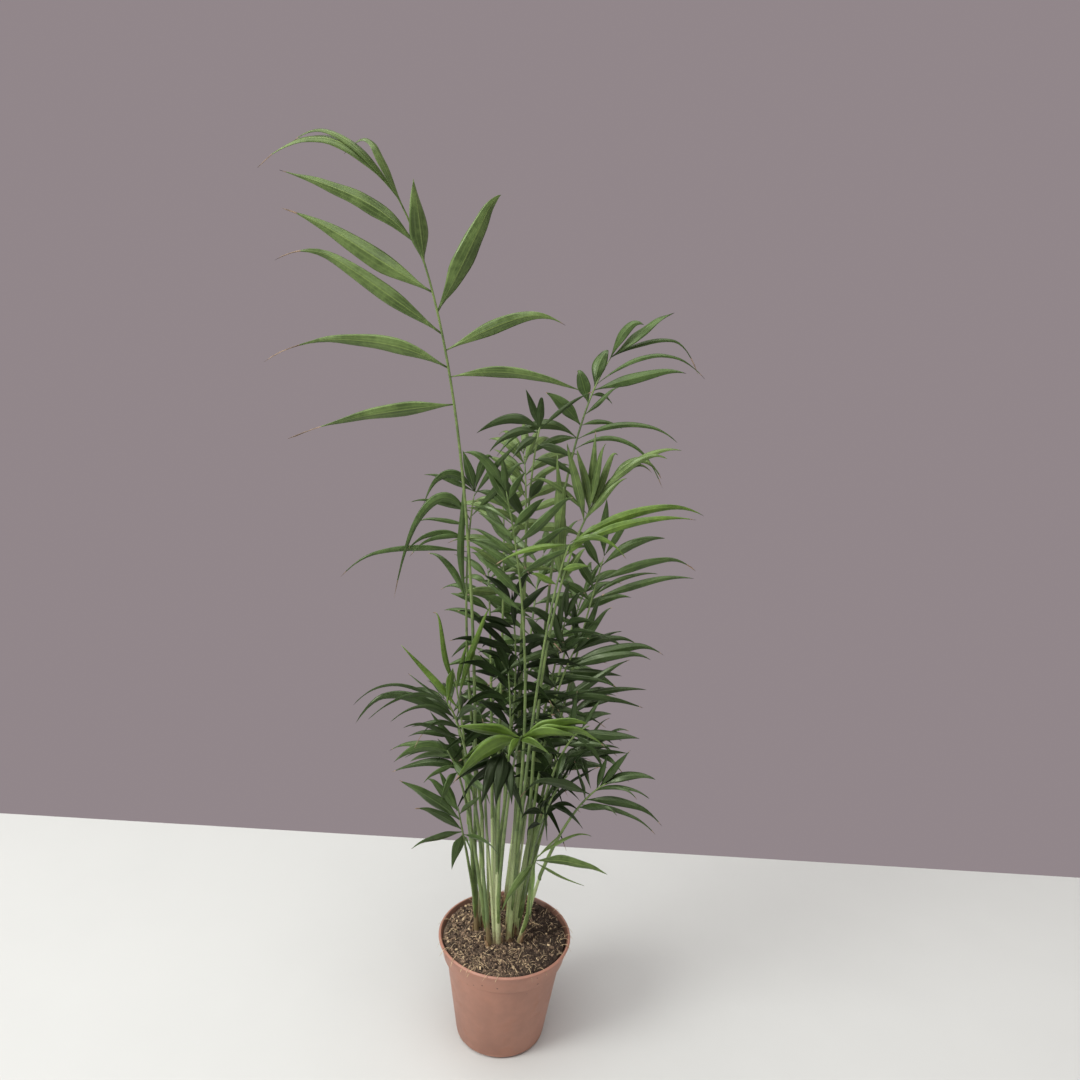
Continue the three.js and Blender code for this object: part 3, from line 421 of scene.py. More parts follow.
class CaneSettings(bpy.types.PropertyGroup):
    pale: colour("Pale", "Colour of the palest canes", 0.54, 0.61, 0.32)
    green: colour("Green", "Colour of most canes", 0.45, 0.55, 0.25)
    leafy: colour("Leafy", "Colour of the darkest canes", 0.15, 0.22, 0.08)
    husk: colour("Husk", "Colour of the dry sheaths at the feet", 0.26, 0.17, 0.09)
    ring_gap: length("Ring gap", "Distance between the leaf scars", 26)


class LeafSettings(bpy.types.PropertyGroup):
    deep: colour("Deep", "Green of the inner fronds", 0.018, 0.036, 0.009)
    mid: colour("Mid", "Green of most outer fronds", 0.039, 0.073, 0.019)
    fresh: colour("Fresh", "Green of the tall, the lowest and a few high fronds", 0.074, 0.12, 0.034)
    # Shade is a near-black painted shade for the fronds that lie deep in the crown's shadow.
    shade: colour("Shade", "Green of the oldest fronds", 0.005, 0.012, 0.0025)
    bright: colour("Bright", "Green of the young fronds", 0.068, 0.126, 0.019)
    rib: colour("Rib", "Colour of the ribs and stalks", 0.115, 0.18, 0.052)
    dry: colour("Dry", "Colour of the dry leaflet tips", 0.24, 0.17, 0.11)
    thickness: length("Thickness", "Thickness of a leaflet", 0.3)
    roughness: share("Roughness", "How dull the leaflets are", 0.38)


class StageSettings(bpy.types.PropertyGroup):
    floor: colour("Floor", "Colour of the floor", 0.59, 0.605, 0.575)
    air: colour("Air", "Colour round the floor", 0.285, 0.24, 0.255)
    floor_depth: length("Floor behind", "How far the floor goes on behind the pot", 295)
    key: power("Key light", "Power of the front light", 43.5)
    fill: power("Fill light", "Power of the side light", 3)
    top: power("Top light", "Power of the wide light above", 66)


SETTINGS = {
    "palm_pot": PotSettings, "palm_soil": SoilSettings, "palm_canes": CaneSettings,
    "palm_leaves": LeafSettings, "palm_stage": StageSettings,
}

# ---------------------------------------------------------------- growth


class Dice:
    """Repeatable small differences, the same as in the solids."""

    FACTOR, STEP, RANGE = 1664525, 1013904223, 2 ** 32
    FROND_SEED = 7368787

    def __init__(self, frond_number):
        self.value = frond_number * self.FROND_SEED

    def spread(self, reach):
        self.value = (self.value * self.FACTOR + self.STEP) % self.RANGE
        return (self.value / self.RANGE * 2 - 1) * reach


def blend(first, last, share_of_way):
    return first + (last - first) * share_of_way


def flat(vector):
    return Vector((vector.x, vector.y, 0)).normalized()


def turned(vector, axis, angle):
    return Matrix.Rotation(angle, 3, axis) @ vector


def square_to(along, vector):
    """The way nearest to a vector that is square to the way `along`."""
    return (vector - along * vector.dot(along)).normalized()


def heading(vector):
    return math.atan2(vector.y, vector.x)


def around(turn, radius=1):
    """The place on a level circle at a turn from the east."""
    return Vector((math.cos(turn) * radius, math.sin(turn) * radius, 0))


def cane_at(cane, z):
    (x, y), top, _, _ = CANES[cane]
    return Vector((x, y, SOIL_TOP)).lerp(Vector(top), cane_rise(cane, z))


def cane_rise(cane, z):
    return (z - SOIL_TOP) / (CANES[cane][1][2] - SOIL_TOP)


def cane_radius(cane, z):
    return CANES[cane][2] * (1 - CANE["taper"] * cane_rise(cane, z))


def polygon_reach(sides, radius, corner, toward):
    """How far a regular polygon reaches the way `toward` where a corner lies the way `corner`."""
    turn = heading(toward) - heading(corner)
    step = TURN / sides
    return radius * math.cos(turn - round(turn / step) * step)


class Rib:
    """The curve of one frond, from its cane to its tip."""

    def __init__(self, frond):
        self.frond = frond
        cane, z = frond["cane"], frond["z"]
        self.start = cane_at(cane, z)
        self.bend = Vector(frond["bend"])
        self.tip = Vector(frond["tip"])
        self.beside = z < CANES[cane][1][2]
        self.outward = flat(self.bend - self.start)
        if self.beside:
            wall = polygon_reach(CANE["sides"], cane_radius(cane, z), EAST, self.outward)
            wall += polygon_reach(STALK["sides"], STALK["foot"], self.normal(0), -self.outward)
            self.start = self.start + self.outward * (wall + CLEARANCE)
        else:
            self.start = self.start + UP * CLEARANCE

    def point(self, place):
        back = 1 - place
        return self.start * back * back + self.bend * (2 * back * place) + self.tip * place * place

    def direction(self, place):
        return (self.bend - self.start).lerp(self.tip - self.bend, place).normalized()

    def normal(self, place):
        """The way that the blade's upper side looks."""
        along = self.direction(place)
        faces = self.frond.get("faces")
        faces = Vector((*faces, 0)) if faces else -flat(self.tip - self.start)
        return turned(square_to(along, UP + faces * LEAN), along, math.radians(self.frond["roll"]))

    def chord_point(self, place):
        """The same place on the straight stretches that the solid's rib has."""
        bare = self.frond["bare"]
        stations = [bare * step / STALK["bare_steps"] for step in range(STALK["bare_steps"])]
        stations += [blend(bare, 1, step / STALK["blade_steps"]) for step in range(STALK["blade_steps"] + 1)]
        for before, after in zip(stations, stations[1:]):
            if place <= after:
                break
        return self.point(before).lerp(self.point(after), (place - before) / (after - before))


def pairs(first, last):
    """The number and the side of each leaflet of some pairs."""
    return [(pair, side) for pair in range(first, last) for side in (LEFT, RIGHT)]


def pair_place(frond, pair, side):
    """The share of the blade at which a leaflet of a pair stands."""
    return (pair + GROWTH["stagger"] * side) / frond["pairs"] * GROWTH["reach"]


def pair_angle(frond, place):
    return blend(*frond["angles"], place ** GROWTH["closing"])


def leaflet_rows(frond):
    """Share of the blade, side, angle, length and width of each leaflet of the pairs."""
    rows = []
    longer = {LEFT: frond["left"], RIGHT: frond["right"]}
    for pair, side in pairs(0, frond["pairs"]):
        place = pair_place(frond, pair + 0.5, side)
        fullness = math.sin(math.pi * min(1, GROWTH["full_start"] + GROWTH["full_rise"] * place))
        rows.append((
            place, side, pair_angle(frond, place),
            frond["length"] * longer[side] * blend(GROWTH["short"], 1, fullness),
            frond["width"] * blend(GROWTH["narrow"], 1, math.sin(math.pi * place)),
        ))
    if rows:
        angle = frond["angles"][1] * GROWTH["end_angle"]
        size, width = frond["length"] * GROWTH["end_length"], frond["width"] * GROWTH["end_width"]
        rows += [(1, side, angle, size, width) for side in (LEFT, RIGHT)]
    return rows


def between_rows(frond):
    """The place, side, angle and rule of the leaflets between the pairs."""
    places = [(pair_place(frond, pair, side), side) for pair, side in pairs(1, frond["pairs"])]
    return [(place, side, pair_angle(frond, place) + BETWEEN["angle"], BETWEEN) for place, side in places]


def inner_rows(name, frond):
    """The same for leaflets low on the stalk, where an inner frond fills the middle of the crown."""
    first = (INNER["from"] - frond["bare"]) / (1 - frond["bare"])
    return [
        (first * (1 - (pair + INNER["stagger"] * side) / INNER["pairs"]), side, INNER["angle"], INNER)
        for pair, side in pairs(0, INNER["pairs"] if name in INNER_FRONDS else 0)
    ]


class Leaflet:
    """One leaflet: where it grows, which way it points, and how it hangs."""

    def __init__(self, rib, share_of_blade):
        place = blend(rib.frond["bare"], 1, share_of_blade)
        self.along, self.normal = rib.direction(place), rib.normal(place)
        self.chord_root = rib.chord_point(place)
        self.offset = rib.point(place) - self.chord_root
        self.change = self.thread = 0

    def aim(self, tip, droop, width, dice):
        """Points it to a place of its own."""
        self.fall = -UP
        reach = Vector(tip) - self.chord_root
        direction = reach - self.fall * (reach.length * droop)
        self.length, self.width = direction.length, width
        self.direction = direction.normalized()
        self.droop = droop * reach.length / self.length
        if abs(reach.normalized().dot(self.normal)) > LEAFLET["steep"]:
            self.normal = FRONT
        self.twist = math.radians(dice.spread(MESS["twist"]))
        self.places = ARCHED_PLACES if droop > LEAFLET["arched"] else LONG_PLACES
        return self

    def pair(self, frond, row, fall, dice):
        """Lets it stand out from the rib, with a small difference of its own."""
        _, side, angle, size, width = row
        spread = math.radians(angle + dice.spread(MESS["angle"]))
        self.fall = fall
        self.length = size * (1 + dice.spread(MESS["length"]))
        self.width = width * (1 + dice.spread(MESS["width"])) * SLIM
        aside = self.along.cross(self.normal) * side
        lift = LEAFLET["lift"] + dice.spread(MESS["lift"])
        self.direction = self.along * math.cos(spread) + aside * math.sin(spread) + self.normal * lift
        self.direction.normalize()
        self.droop = frond["droop"] * (1 + dice.spread(MESS["droop"]))
        self.twist = math.radians(dice.spread(MESS["twist"]))
        self.places = SHORT_PLACES if frond["length"] <= LEAFLET["short"] else LONG_PLACES
        return self

    def loosen(self, free):
        """Lets it hang and turn more freely than the solids' leaflets do."""
        self.droop *= free.uniform(*FREE["droop"])
        self.twist += math.radians(free.uniform(-FREE["twist"], FREE["twist"]))
        return self

    def pointing(self, change):
        return (self.direction + self.normal * change).normalized()

    def lie(self, change):
        """The way square to the plane that it falls in, and the turn from there to its width."""
        direction = self.pointing(change)
        aside = direction.cross(self.fall).normalized()
        chord = (direction + self.fall * self.droop).normalized()
        wide = chord.cross(self.normal)
        return aside, math.atan2(wide.dot(chord.cross(aside)), wide.dot(aside))

    def middle(self, place, change):
        fall = self.length * self.droop * place ** LEAFLET["fall_power"]
        return self.chord_root + self.pointing(change) * (self.length * place) + self.fall * fall

    def distance_to(self, solid, change):
        points = [self.middle(place, change) * MM for place in self.places]
        return max(solid.find_nearest(point)[3] for point in points) / MM

    def settle(self, solid):
        """Takes the fold that the solid shows, and says whether the solid has this leaflet at all."""
        gap, self.change = min((self.distance_to(solid, change), change) for change in LIFT_CHANGES)
        return gap < SOLID_REACH


def frond_solid(name):
    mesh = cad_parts[f"frond_{name}"].data
    points = [vertex.co for vertex in mesh.vertices]
    return BVHTree.FromPolygons(points, [face.vertices for face in mesh.polygons])


def frond_leaflets(name, frond, rib, dice):
    """The leaflets that the frond's solid has, and the extra ones of the fine frond."""
    leaflets = [
        Leaflet(rib, share_of_blade).aim(tip, droop, width * SLIMMED.get(name, SLIM), dice)
        for share_of_blade, *tip, droop, width in frond["aims"]
    ]
    for number, reach in THREADS.get(name, {}).items():
        leaflets[number].thread = reach
    fall = flat(rib.tip - rib.start) * LEAFLET["fall_forward"] - UP * LEAFLET["fall_down"]
    leaflets += [Leaflet(rib, row[0]).pair(frond, row, fall, dice) for row in leaflet_rows(frond)]
    solid = frond_solid(name)
    shown = [leaflet for leaflet in leaflets if leaflet.settle(solid)]
    free = random.Random(name)
    for place, side, angle, rule in between_rows(frond) + inner_rows(name, frond):
        angle += free.uniform(-FREE["angle"], FREE["angle"])
        size = frond["length"] * rule["length"] * free.uniform(*FREE["length"])
        row = (place, side, angle, size, frond["width"] * rule["width"])
        shown.append(Leaflet(rib, place).pair(frond, row, fall, dice).loosen(free))
    return shown


@functools.cache
def grown_fronds():
    """Every frond as its name, sizes, rib and leaflets."""
    fronds = []
    for number, (name, sizes) in enumerate(FRONDS.items(), 1):
        frond = {**BLADE, **sizes}
        rib = Rib(frond)
        fronds.append((name, frond, rib, frond_leaflets(name, frond, rib, Dice(number))))
    return fronds


# ---------------------------------------------------------------- meshes

# Steps round or across and along the sheets.
STEPS = {
    "soil": (160, 90), "straw": (5, 7), "lip_straw": (5, 9), "cane": (16, 72), "shoot": (10, 30),
    "husk": (10, 6), "rib": (10, 34),
}
ON_EDGE = 0.001  # how near to a sheet's edge a corner is that lies on it, as a share of the sheet
WELD = 0.01 * MM


def sheet(bm, across, along, place, material=0, wrap=False, tip=None):
    """A grid of faces with each corner put at place(u, v) in mm, where u and v go from 0 to 1.

    It gives the corners of its two ends. tip is the v from which the faces are of another material, and
    that material.
    """
    made = bmesh.ops.create_grid(bm, x_segments=across, y_segments=along, size=0.5)["verts"]
    spots = {vertex: (vertex.co.x + 0.5, vertex.co.y + 0.5) for vertex in made}
    for vertex in made:
        vertex.co = place(*spots[vertex]) * MM
    uv = bm.loops.layers.uv.verify()
    for face in {face for vertex in made for face in vertex.link_faces}:
        face.smooth = True
        beyond = tip and min(spots[corner][1] for corner in face.verts) >= tip[0]
        face.material_index = tip[1] if beyond else material
        for loop in face.loops:
            loop[uv].uv = spots[loop.vert]
    ends = [[v for v in made if spots[v][1] < ON_EDGE], [v for v in made if spots[v][1] > 1 - ON_EDGE]]
    if wrap:
        seam = [v for v in made if min(spots[v][0], 1 - spots[v][0]) < ON_EDGE]
        bmesh.ops.remove_doubles(bm, verts=seam, dist=WELD)
        ends = [[v for v in end if v.is_valid] for end in ends]
    return ends


def close(bm, end, material=0):
    """A flat face over an open end."""
    edges = {edge for vertex in end for edge in vertex.link_edges if edge.is_boundary}
    for face in bmesh.ops.edgeloop_fill(bm, edges=list(edges))["faces"]:
        face.material_index = material


def gather(bm, end):
    """Draws an end together to a point."""
    middle = sum((vertex.co for vertex in end), Vector()) / len(end)
    bmesh.ops.pointmerge(bm, verts=end, merge_co=middle)


def link(thing):
    bpy.context.scene.collection.objects.link(thing)


def new_object(name, bm, materials=()):
    mesh = bpy.data.meshes.new(name)
    bm.to_mesh(mesh)
    bm.free()
    for material in materials:
        mesh.materials.append(material)
    made = bpy.data.objects.new(name, mesh)
    link(made)
    return made


def finish_piece(name, bm, materials, nodes=()):
    piece = new_object(name, bm, materials)
    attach(piece, BODY)
    if nodes:
        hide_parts(*nodes)
    return piece


def thicken(piece, thickness, under):
    """Gives open sheets their thickness, with the under side in a material of its own."""
    solidify = piece.modifiers.new("thickness", "SOLIDIFY")
    solidify.thickness = thickness
    solidify.offset = -1
    solidify.material_offset = under


# ---------------------------------------------------------------- materials


class Graph:
    """Adds nodes to a tree and links their sockets."""

    def __init__(self, tree):
        self.tree = tree

    def add(self, kind, sockets=(), settings=(), **named):
        node = self.tree.nodes.new(kind)
        for key, value in dict(settings).items():
            setattr(node, key, value)
        for index, value in enumerate(sockets):
            self.put(node.inputs[index], value)
        for key, value in named.items():
            self.put(node.inputs[key.replace("_", " ")], value)
        return node

    def put(self, socket, value):
        if isinstance(value, bpy.types.NodeSocket):
            self.tree.links.new(value, socket)
        else:
            socket.default_value = value

    def maths(self, operation, *values):
        return self.add("ShaderNodeMath", values, {"operation": operation}).outputs[0]

    def times(self, first, second):
        return self.maths("MULTIPLY", first, second)

    def plus(self, first, second):
        return self.maths("ADD", first, second)

    def minus(self, first, second):
        return self.maths("SUBTRACT", first, second)

    def noise(self, vector, scale, detail=2.0):
        return self.add("ShaderNodeTexNoise", Vector=vector, Scale=scale, Detail=detail).outputs["Fac"]

    def ramp(self, value, low, high):
        """0 below low, 1 above high, and smooth between them."""
        settings = {"interpolation_type": "SMOOTHSTEP"}
        return self.add("ShaderNodeMapRange", (value, low, high), settings).outputs["Result"]

    def ramp_mm(self, value, low, high):
        return self.ramp(value, low * MM, high * MM)

    def mix(self, factor, first, second):
        node = self.add("ShaderNodeMix", settings={"data_type": "RGBA"})
        self.put(node.inputs["Factor"], factor)
        self.put(node.inputs["A"], first)
        self.put(node.inputs["B"], second)
        return node.outputs["Result"]

    def cover(self, base, second, mask, strength):
        """Lays a second colour over the base where the mask is."""
        return self.mix(self.times(mask, strength), base, second)

    def group(self, name, **named):
        """The outputs of a node group, which is made the first time that it is used."""
        tree = bpy.data.node_groups.get(name) or GROUPS[name](name)
        return self.add("ShaderNodeGroup", settings={"node_tree": tree}, **named).outputs


def solid_colour(values):
    return (*values, 1)


def shade(values, factor, yellow=0.0):
    """A colour made lighter or darker, and a little yellower."""
    red, green, blue = values
    return solid_colour((min(1, red * factor * (1 + yellow)), min(1, green * factor), min(1, blue * factor)))


def new_group(name, inputs, outputs):
    tree = bpy.data.node_groups.new(name, "ShaderNodeTree")
    for label, kind in inputs.items():
        tree.interface.new_socket(label, in_out="INPUT", socket_type=f"NodeSocket{kind}")
    for label in outputs:
        tree.interface.new_socket(label, in_out="OUTPUT", socket_type="NodeSocketFloat")
    graph = Graph(tree)
    return tree, graph, graph.add("NodeGroupInput").outputs, graph.add("NodeGroupOutput").inputs


def veins_group(name):
    """Long fine veins and a middle fold, from a place across and along a leaflet."""
    tree, graph, given, result = new_group(
        name, {"UV": "Vector", "Count": "Float"}, ("Height", "Middle", "Streaks")
    )
    wander, fold_width, vein_height, streak_from = 0.05, 0.06, 0.3, 0.2
    across = graph.add("ShaderNodeSeparateXYZ", (given["UV"],)).outputs[0]
    place = graph.plus(across, graph.times(graph.noise(given["UV"], scale=3.0), wander))
    fine = graph.maths("SINE", graph.times(graph.times(place, given["Count"]), TURN))
    from_middle = graph.maths("ABSOLUTE", graph.minus(across, 0.5))
    fold = graph.minus(1.0, graph.ramp(from_middle, 0.0, fold_width))
    graph.put(result["Height"], graph.minus(graph.times(fine, vein_height), fold))
    graph.put(result["Middle"], fold)
    # Streaks are the tops of the veins, which the leaflets paint paler, partly as painted sheen.
    graph.put(result["Streaks"], graph.ramp(fine, streak_from, 1.0))
    return tree


def patches_group(name):
    """Soft patches with finer ones inside them."""
    tree, graph, given, result = new_group(name, {"Vector": "Vector", "Scale": "Float"}, ("Patches",))
    finer, fine_share, low, high = 6.0, 0.3, 0.36, 0.64
    broad = graph.noise(given["Vector"], given["Scale"], detail=3.0)
    fine = graph.noise(given["Vector"], graph.times(given["Scale"], finer))
    both = graph.plus(graph.times(broad, 1 - fine_share), graph.times(fine, fine_share))
    graph.put(result["Patches"], graph.ramp(both, low, high))
    return tree


def specks_group(name):
    """Scattered specks, more of them where Amount is larger."""
    tree, graph, given, result = new_group(
        name, {"Vector": "Vector", "Scale": "Float", "Amount": "Float"}, ("Specks",)
    )
    coarser = 0.3
    cells = graph.add("ShaderNodeTexVoronoi", Vector=given["Vector"], Scale=given["Scale"], Randomness=1.0)
    crowding = graph.noise(given["Vector"], graph.times(given["Scale"], coarser))
    size = graph.times(crowding, given["Amount"])
    graph.put(result["Specks"], graph.maths("LESS_THAN", cells.outputs["Distance"], size))
    return tree


GROUPS = {"long_veins": veins_group, "soft_patches": patches_group, "specks": specks_group}


class Surface(Graph):
    """The graph of one material."""

    def __init__(self, name):
        self.material = bpy.data.materials.new(name)
        self.material.use_nodes = True
        super().__init__(self.material.node_tree)
        self.shader = self.tree.nodes["Principled BSDF"].inputs
        coords = self.add("ShaderNodeTexCoord").outputs
        self.spot, self.uv = coords["Object"], coords["UV"]

    def patches(self, scale):
        return self.group("soft_patches", Vector=self.spot, Scale=scale)["Patches"]

    def specks(self, scale, amount):
        return self.group("specks", Vector=self.spot, Scale=scale, Amount=amount)["Specks"]

    def veins(self, count):
        return self.group("long_veins", UV=self.uv, Count=count)

    def axis(self, number):
        return self.add("ShaderNodeSeparateXYZ", (self.spot,)).outputs[number]

    def finish(self, base, roughness, height=None, depth=0.0, strength=1.0):
        """Sets the colour, how dull it is, and its bumps, which are depth mm high."""
        self.put(self.shader["Base Color"], base)
        self.put(self.shader["Roughness"], roughness)
        if depth:
            bump = self.add("ShaderNodeBump", Height=height, Distance=depth * MM, Strength=strength)
            self.put(self.shader["Normal"], bump.outputs["Normal"])
        return self.material


def patched_material(name, values, grain, low, high, roughness, yellow=0.0, veins=0.0, depth=0.0):
    """One colour in darker and lighter patches, with bumps like long veins or else like the patches."""
    surface = Surface(name)
    patches = surface.patches(grain)
    base = surface.mix(patches, shade(values, low), shade(values, high, yellow))
    height = surface.veins(veins)["Height"] if veins else patches
    return surface.finish(base, roughness, height, depth)


# The factors and the yellowness of the patches on a leaflet's two sides, and how dull and shiny those are.
# The under side is paler: partly its own paler green, partly painted light shining through the leaflet.
LEAF_SIDES = {
    "upper": {"low": (0.7, 0), "high": (1.4, 0.08), "dullness": -0.08, "shine": 1},
    "under": {"low": (1.5, 0.15), "high": (2.0, 0.2), "dullness": 0.12, "shine": 0.5},
}
SHINE_TINT = (0.85, 1, 0.65, 1)


def leaf_material(name, side, green, roughness, shine):
    """Leaflet green in patches, with paler streaks along the veins that are partly painted sheen, and a paler
    middle.
    """
    leaf, side = Surface(name), LEAF_SIDES[side]
    veins, patches = leaf.veins(count=4.5), leaf.patches(scale=45.0)
    # The under side's paler patches are partly its own green, partly painted light shining through the
    # leaflet.
    blade = leaf.mix(patches, shade(green, *side["low"]), shade(green, *side["high"]))
    # Paler streaks along the veins: partly the veins' own colour, partly painted sheen.
    blade = leaf.cover(blade, shade(green, 1.9, yellow=0.12), veins["Streaks"], strength=0.3)
    blade = leaf.cover(blade, shade(green, 2.6, yellow=0.2), veins["Middle"], strength=0.6)
    dullness = leaf.plus(leaf.times(patches, 0.16), roughness + side["dullness"])
    leaf.put(leaf.shader["Specular IOR Level"], shine * side["shine"])
    leaf.put(leaf.shader["Specular Tint"], SHINE_TINT)
    return leaf.finish(blade, dullness, veins["Height"], depth=0.22, strength=0.3)


# Heights in mm: where the canes turn greener, how far their brown feet fade out, and how uneven that is.
GREENER = (165, 240)
BROWN_FADE = 22
BROWN_UNEVEN = 16


def cane_material(name, green, rib, husk, brown_top):
    """Smooth green cane, greener upwards, that turns brown and stained towards the soil."""
    cane = Surface(name)
    height, patches = cane.axis(2), cane.patches(scale=90.0)
    skin = cane.mix(cane.ramp_mm(height, *GREENER), solid_colour(green), solid_colour(rib))
    skin = cane.cover(skin, shade(green, 0.5), patches, strength=0.25)
    uneven = cane.minus(height, cane.times(patches, BROWN_UNEVEN * MM))
    browned = cane.minus(1.0, cane.ramp_mm(uneven, brown_top - BROWN_FADE, brown_top))
    skin = cane.cover(skin, solid_colour(husk), browned, strength=0.75)
    skin = cane.cover(skin, shade(husk, 0.5), cane.specks(scale=420.0, amount=0.42), strength=0.35)
    return cane.finish(skin, roughness=0.46, height=cane.veins(count=14.0)["Height"], depth=0.12)


# The soil is darker towards the right, from these places on in mm, and in places up to the uneven reach given
# below earlier.
DARKER_SIDE = (10, 50)
DARKER_SIDE_UNEVEN = 20


def soil_material(look):
    """Dark soil with dry flecks; it is darker towards the right, where the flecks are fewer."""
    soil = Surface("moist_soil")
    patches = soil.patches(scale=150.0)
    darker_right = soil.ramp_mm(soil.plus(soil.axis(0), soil.times(patches, DARKER_SIDE_UNEVEN * MM)), *DARKER_SIDE)
    # dry is the share of the pale flecks that is kept: fewer of them on the darker right side.
    dry = soil.minus(1.0, soil.times(darker_right, 0.75))
    flecks = soil.times(soil.specks(scale=700.0, amount=0.6), dry)
    body = soil.mix(patches, shade(look.dark, 0.7), shade(look.light, 0.45))
    body = soil.cover(body, shade(look.dark, 0.7), darker_right, strength=0.7)
    body = soil.cover(body, solid_colour(look.light), flecks, strength=0.8)
    grains = soil.noise(soil.spot, scale=900.0, detail=4.0)
    return soil.finish(body, roughness=0.95, height=grains, depth=1.2)


# Heights in mm over which the pot's lip gets rubbed wear with a painted highlight, the pot gets splashed with
# soil, and its inside gets mud with painted shade. INSIDE is the layer round the middle of its wall, in mm,
# over which the inner side begins.
RUBBED_AND_LIT = (POT["height"] - 1, POT["height"] + 0.6)
RUBBED_AND_LIT_UNEVEN = 1.2
SPLASHED = (70, 95)
MUDDY_SHADED = (86, 88)
INSIDE = (-0.3, 0.3)


def pot_material(look):
    """Moulded plastic with a rubbed lip that carries a painted highlight, dust, soil splashed under the
    collar, and an inner wall darkened by mud and painted shade.
    """
    pot = Surface("moulded_plastic")
    height, patches = pot.axis(2), pot.patches(scale=22.0)
    plastic = pot.mix(patches, shade(look.plastic, 0.92), shade(look.plastic, 1.1))
    # The lip's top is painted paler: partly rubbed wear, partly a painted highlight.
    rubbed_and_lit = pot.ramp_mm(pot.plus(height, pot.times(patches, RUBBED_AND_LIT_UNEVEN * MM)), *RUBBED_AND_LIT)
    plastic = pot.cover(plastic, solid_colour(look.rim), rubbed_and_lit, strength=0.4)
    dust = pot.ramp(pot.noise(pot.spot, scale=70.0, detail=5.0), low=0.52, high=0.75)
    plastic = pot.cover(plastic, shade(look.rim, 1.2), dust, strength=0.22)
    splashed = pot.times(pot.ramp_mm(height, *SPLASHED), pot.specks(scale=160.0, amount=0.24))
    plastic = pot.cover(plastic, solid_colour(look.soiling), splashed, strength=0.7)
    level = pot.add("ShaderNodeVectorMath", (pot.spot, (1, 1, 0)), {"operation": "MULTIPLY"}).outputs[0]
    radius = pot.add("ShaderNodeVectorMath", (level,), {"operation": "LENGTH"}).outputs["Value"]
    past_middle = pot.minus(radius, pot.plus(pot.times(height, COLLAR_SLOPE), COLLAR_MIDDLE * MM))
    inside = pot.minus(1.0, pot.ramp_mm(past_middle, *INSIDE))
    # Mud and painted shade darken the inside of the collar.
    muddy_and_shaded = pot.times(inside, pot.ramp_mm(height, *MUDDY_SHADED))
    plastic = pot.cover(plastic, solid_colour(look.soiling), muddy_and_shaded, pot.plus(pot.times(patches, 0.3), 0.45))
    dullness = pot.plus(pot.times(dust, 0.2), look.roughness)
    return pot.finish(plastic, dullness, pot.noise(pot.spot, scale=1500.0), depth=0.05)


# ---------------------------------------------------------------- pot

# Small sizes of the wall's outline, in mm: the hollow under the foot, the ledge above it, and the lip's
# rounding. step_rise is the collar step's height as a share of its depth.
WALL = {
    "hollow": 0.8, "hollow_radius": 22, "foot_ring": 24, "ledge": 3.2, "ledge_out": 0.25, "ledge_up": 0.3,
    "step_rise": 0.6, "lip_slant": 0.5, "lip_outside": (1.1, 0.9), "lip_inside": (0.4, 0.8),
}
POT_MESH = {"edge_steps": 3, "round_steps": 144, "hard_edge": 38, "hole_steps": 24, "drill_length": 20}


def body_radius(z):
    return POT["foot_radius"] + BODY_SLOPE * z


def inner_radius(z):
    """The radius of the pot's inner wall at a height, in mm."""
    if z > SHELF_HEIGHT:
        rise = (z - SHELF_HEIGHT) / (POT["height"] - SHELF_HEIGHT)
        return blend(SHELF_RADIUS, COLLAR_TOP_RADIUS - POT["wall"], rise)
    rise = max(0, z - COLLAR_FOOT) / (SHELF_HEIGHT - COLLAR_FOOT)
    return blend(body_radius(min(z, COLLAR_FOOT)) - POT["wall"], SHELF_RADIUS, rise)


def pot_profile():
    """Radius and height of the wall's outline, in mm, from the middle of the underside to the inner floor."""
    top, rim, wall, floor = POT["height"], POT["rim_radius"], POT["wall"], POT["floor"]
    lip_foot, step, rounding = top - POT["lip_height"], POT["collar_step"], POT["foot_rounding"]
    ledge = rounding + WALL["ledge"]
    out_flat, out_drop = WALL["lip_outside"]
    in_flat, in_drop = WALL["lip_inside"]
    return [
        (0, WALL["hollow"]), (WALL["hollow_radius"], WALL["hollow"]), (WALL["foot_ring"], 0),
        (POT["foot_radius"] - rounding, 0), (body_radius(rounding), rounding), (body_radius(ledge), ledge),
        (body_radius(ledge) + WALL["ledge_out"], ledge + WALL["ledge_up"]), (BODY_TOP_RADIUS, COLLAR_FOOT),
        (BODY_TOP_RADIUS + step, COLLAR_FOOT + step * WALL["step_rise"]), (COLLAR_TOP_RADIUS, lip_foot),
        (rim, lip_foot + WALL["lip_slant"]), (rim, top - out_drop), (rim - out_flat, top),
        (COLLAR_TOP_RADIUS - in_flat, top), (COLLAR_TOP_RADIUS - wall, top - in_drop),
        (SHELF_RADIUS, SHELF_HEIGHT), (BODY_TOP_RADIUS - wall, COLLAR_FOOT),
        (body_radius(floor) - wall, floor), (0, floor),
    ]


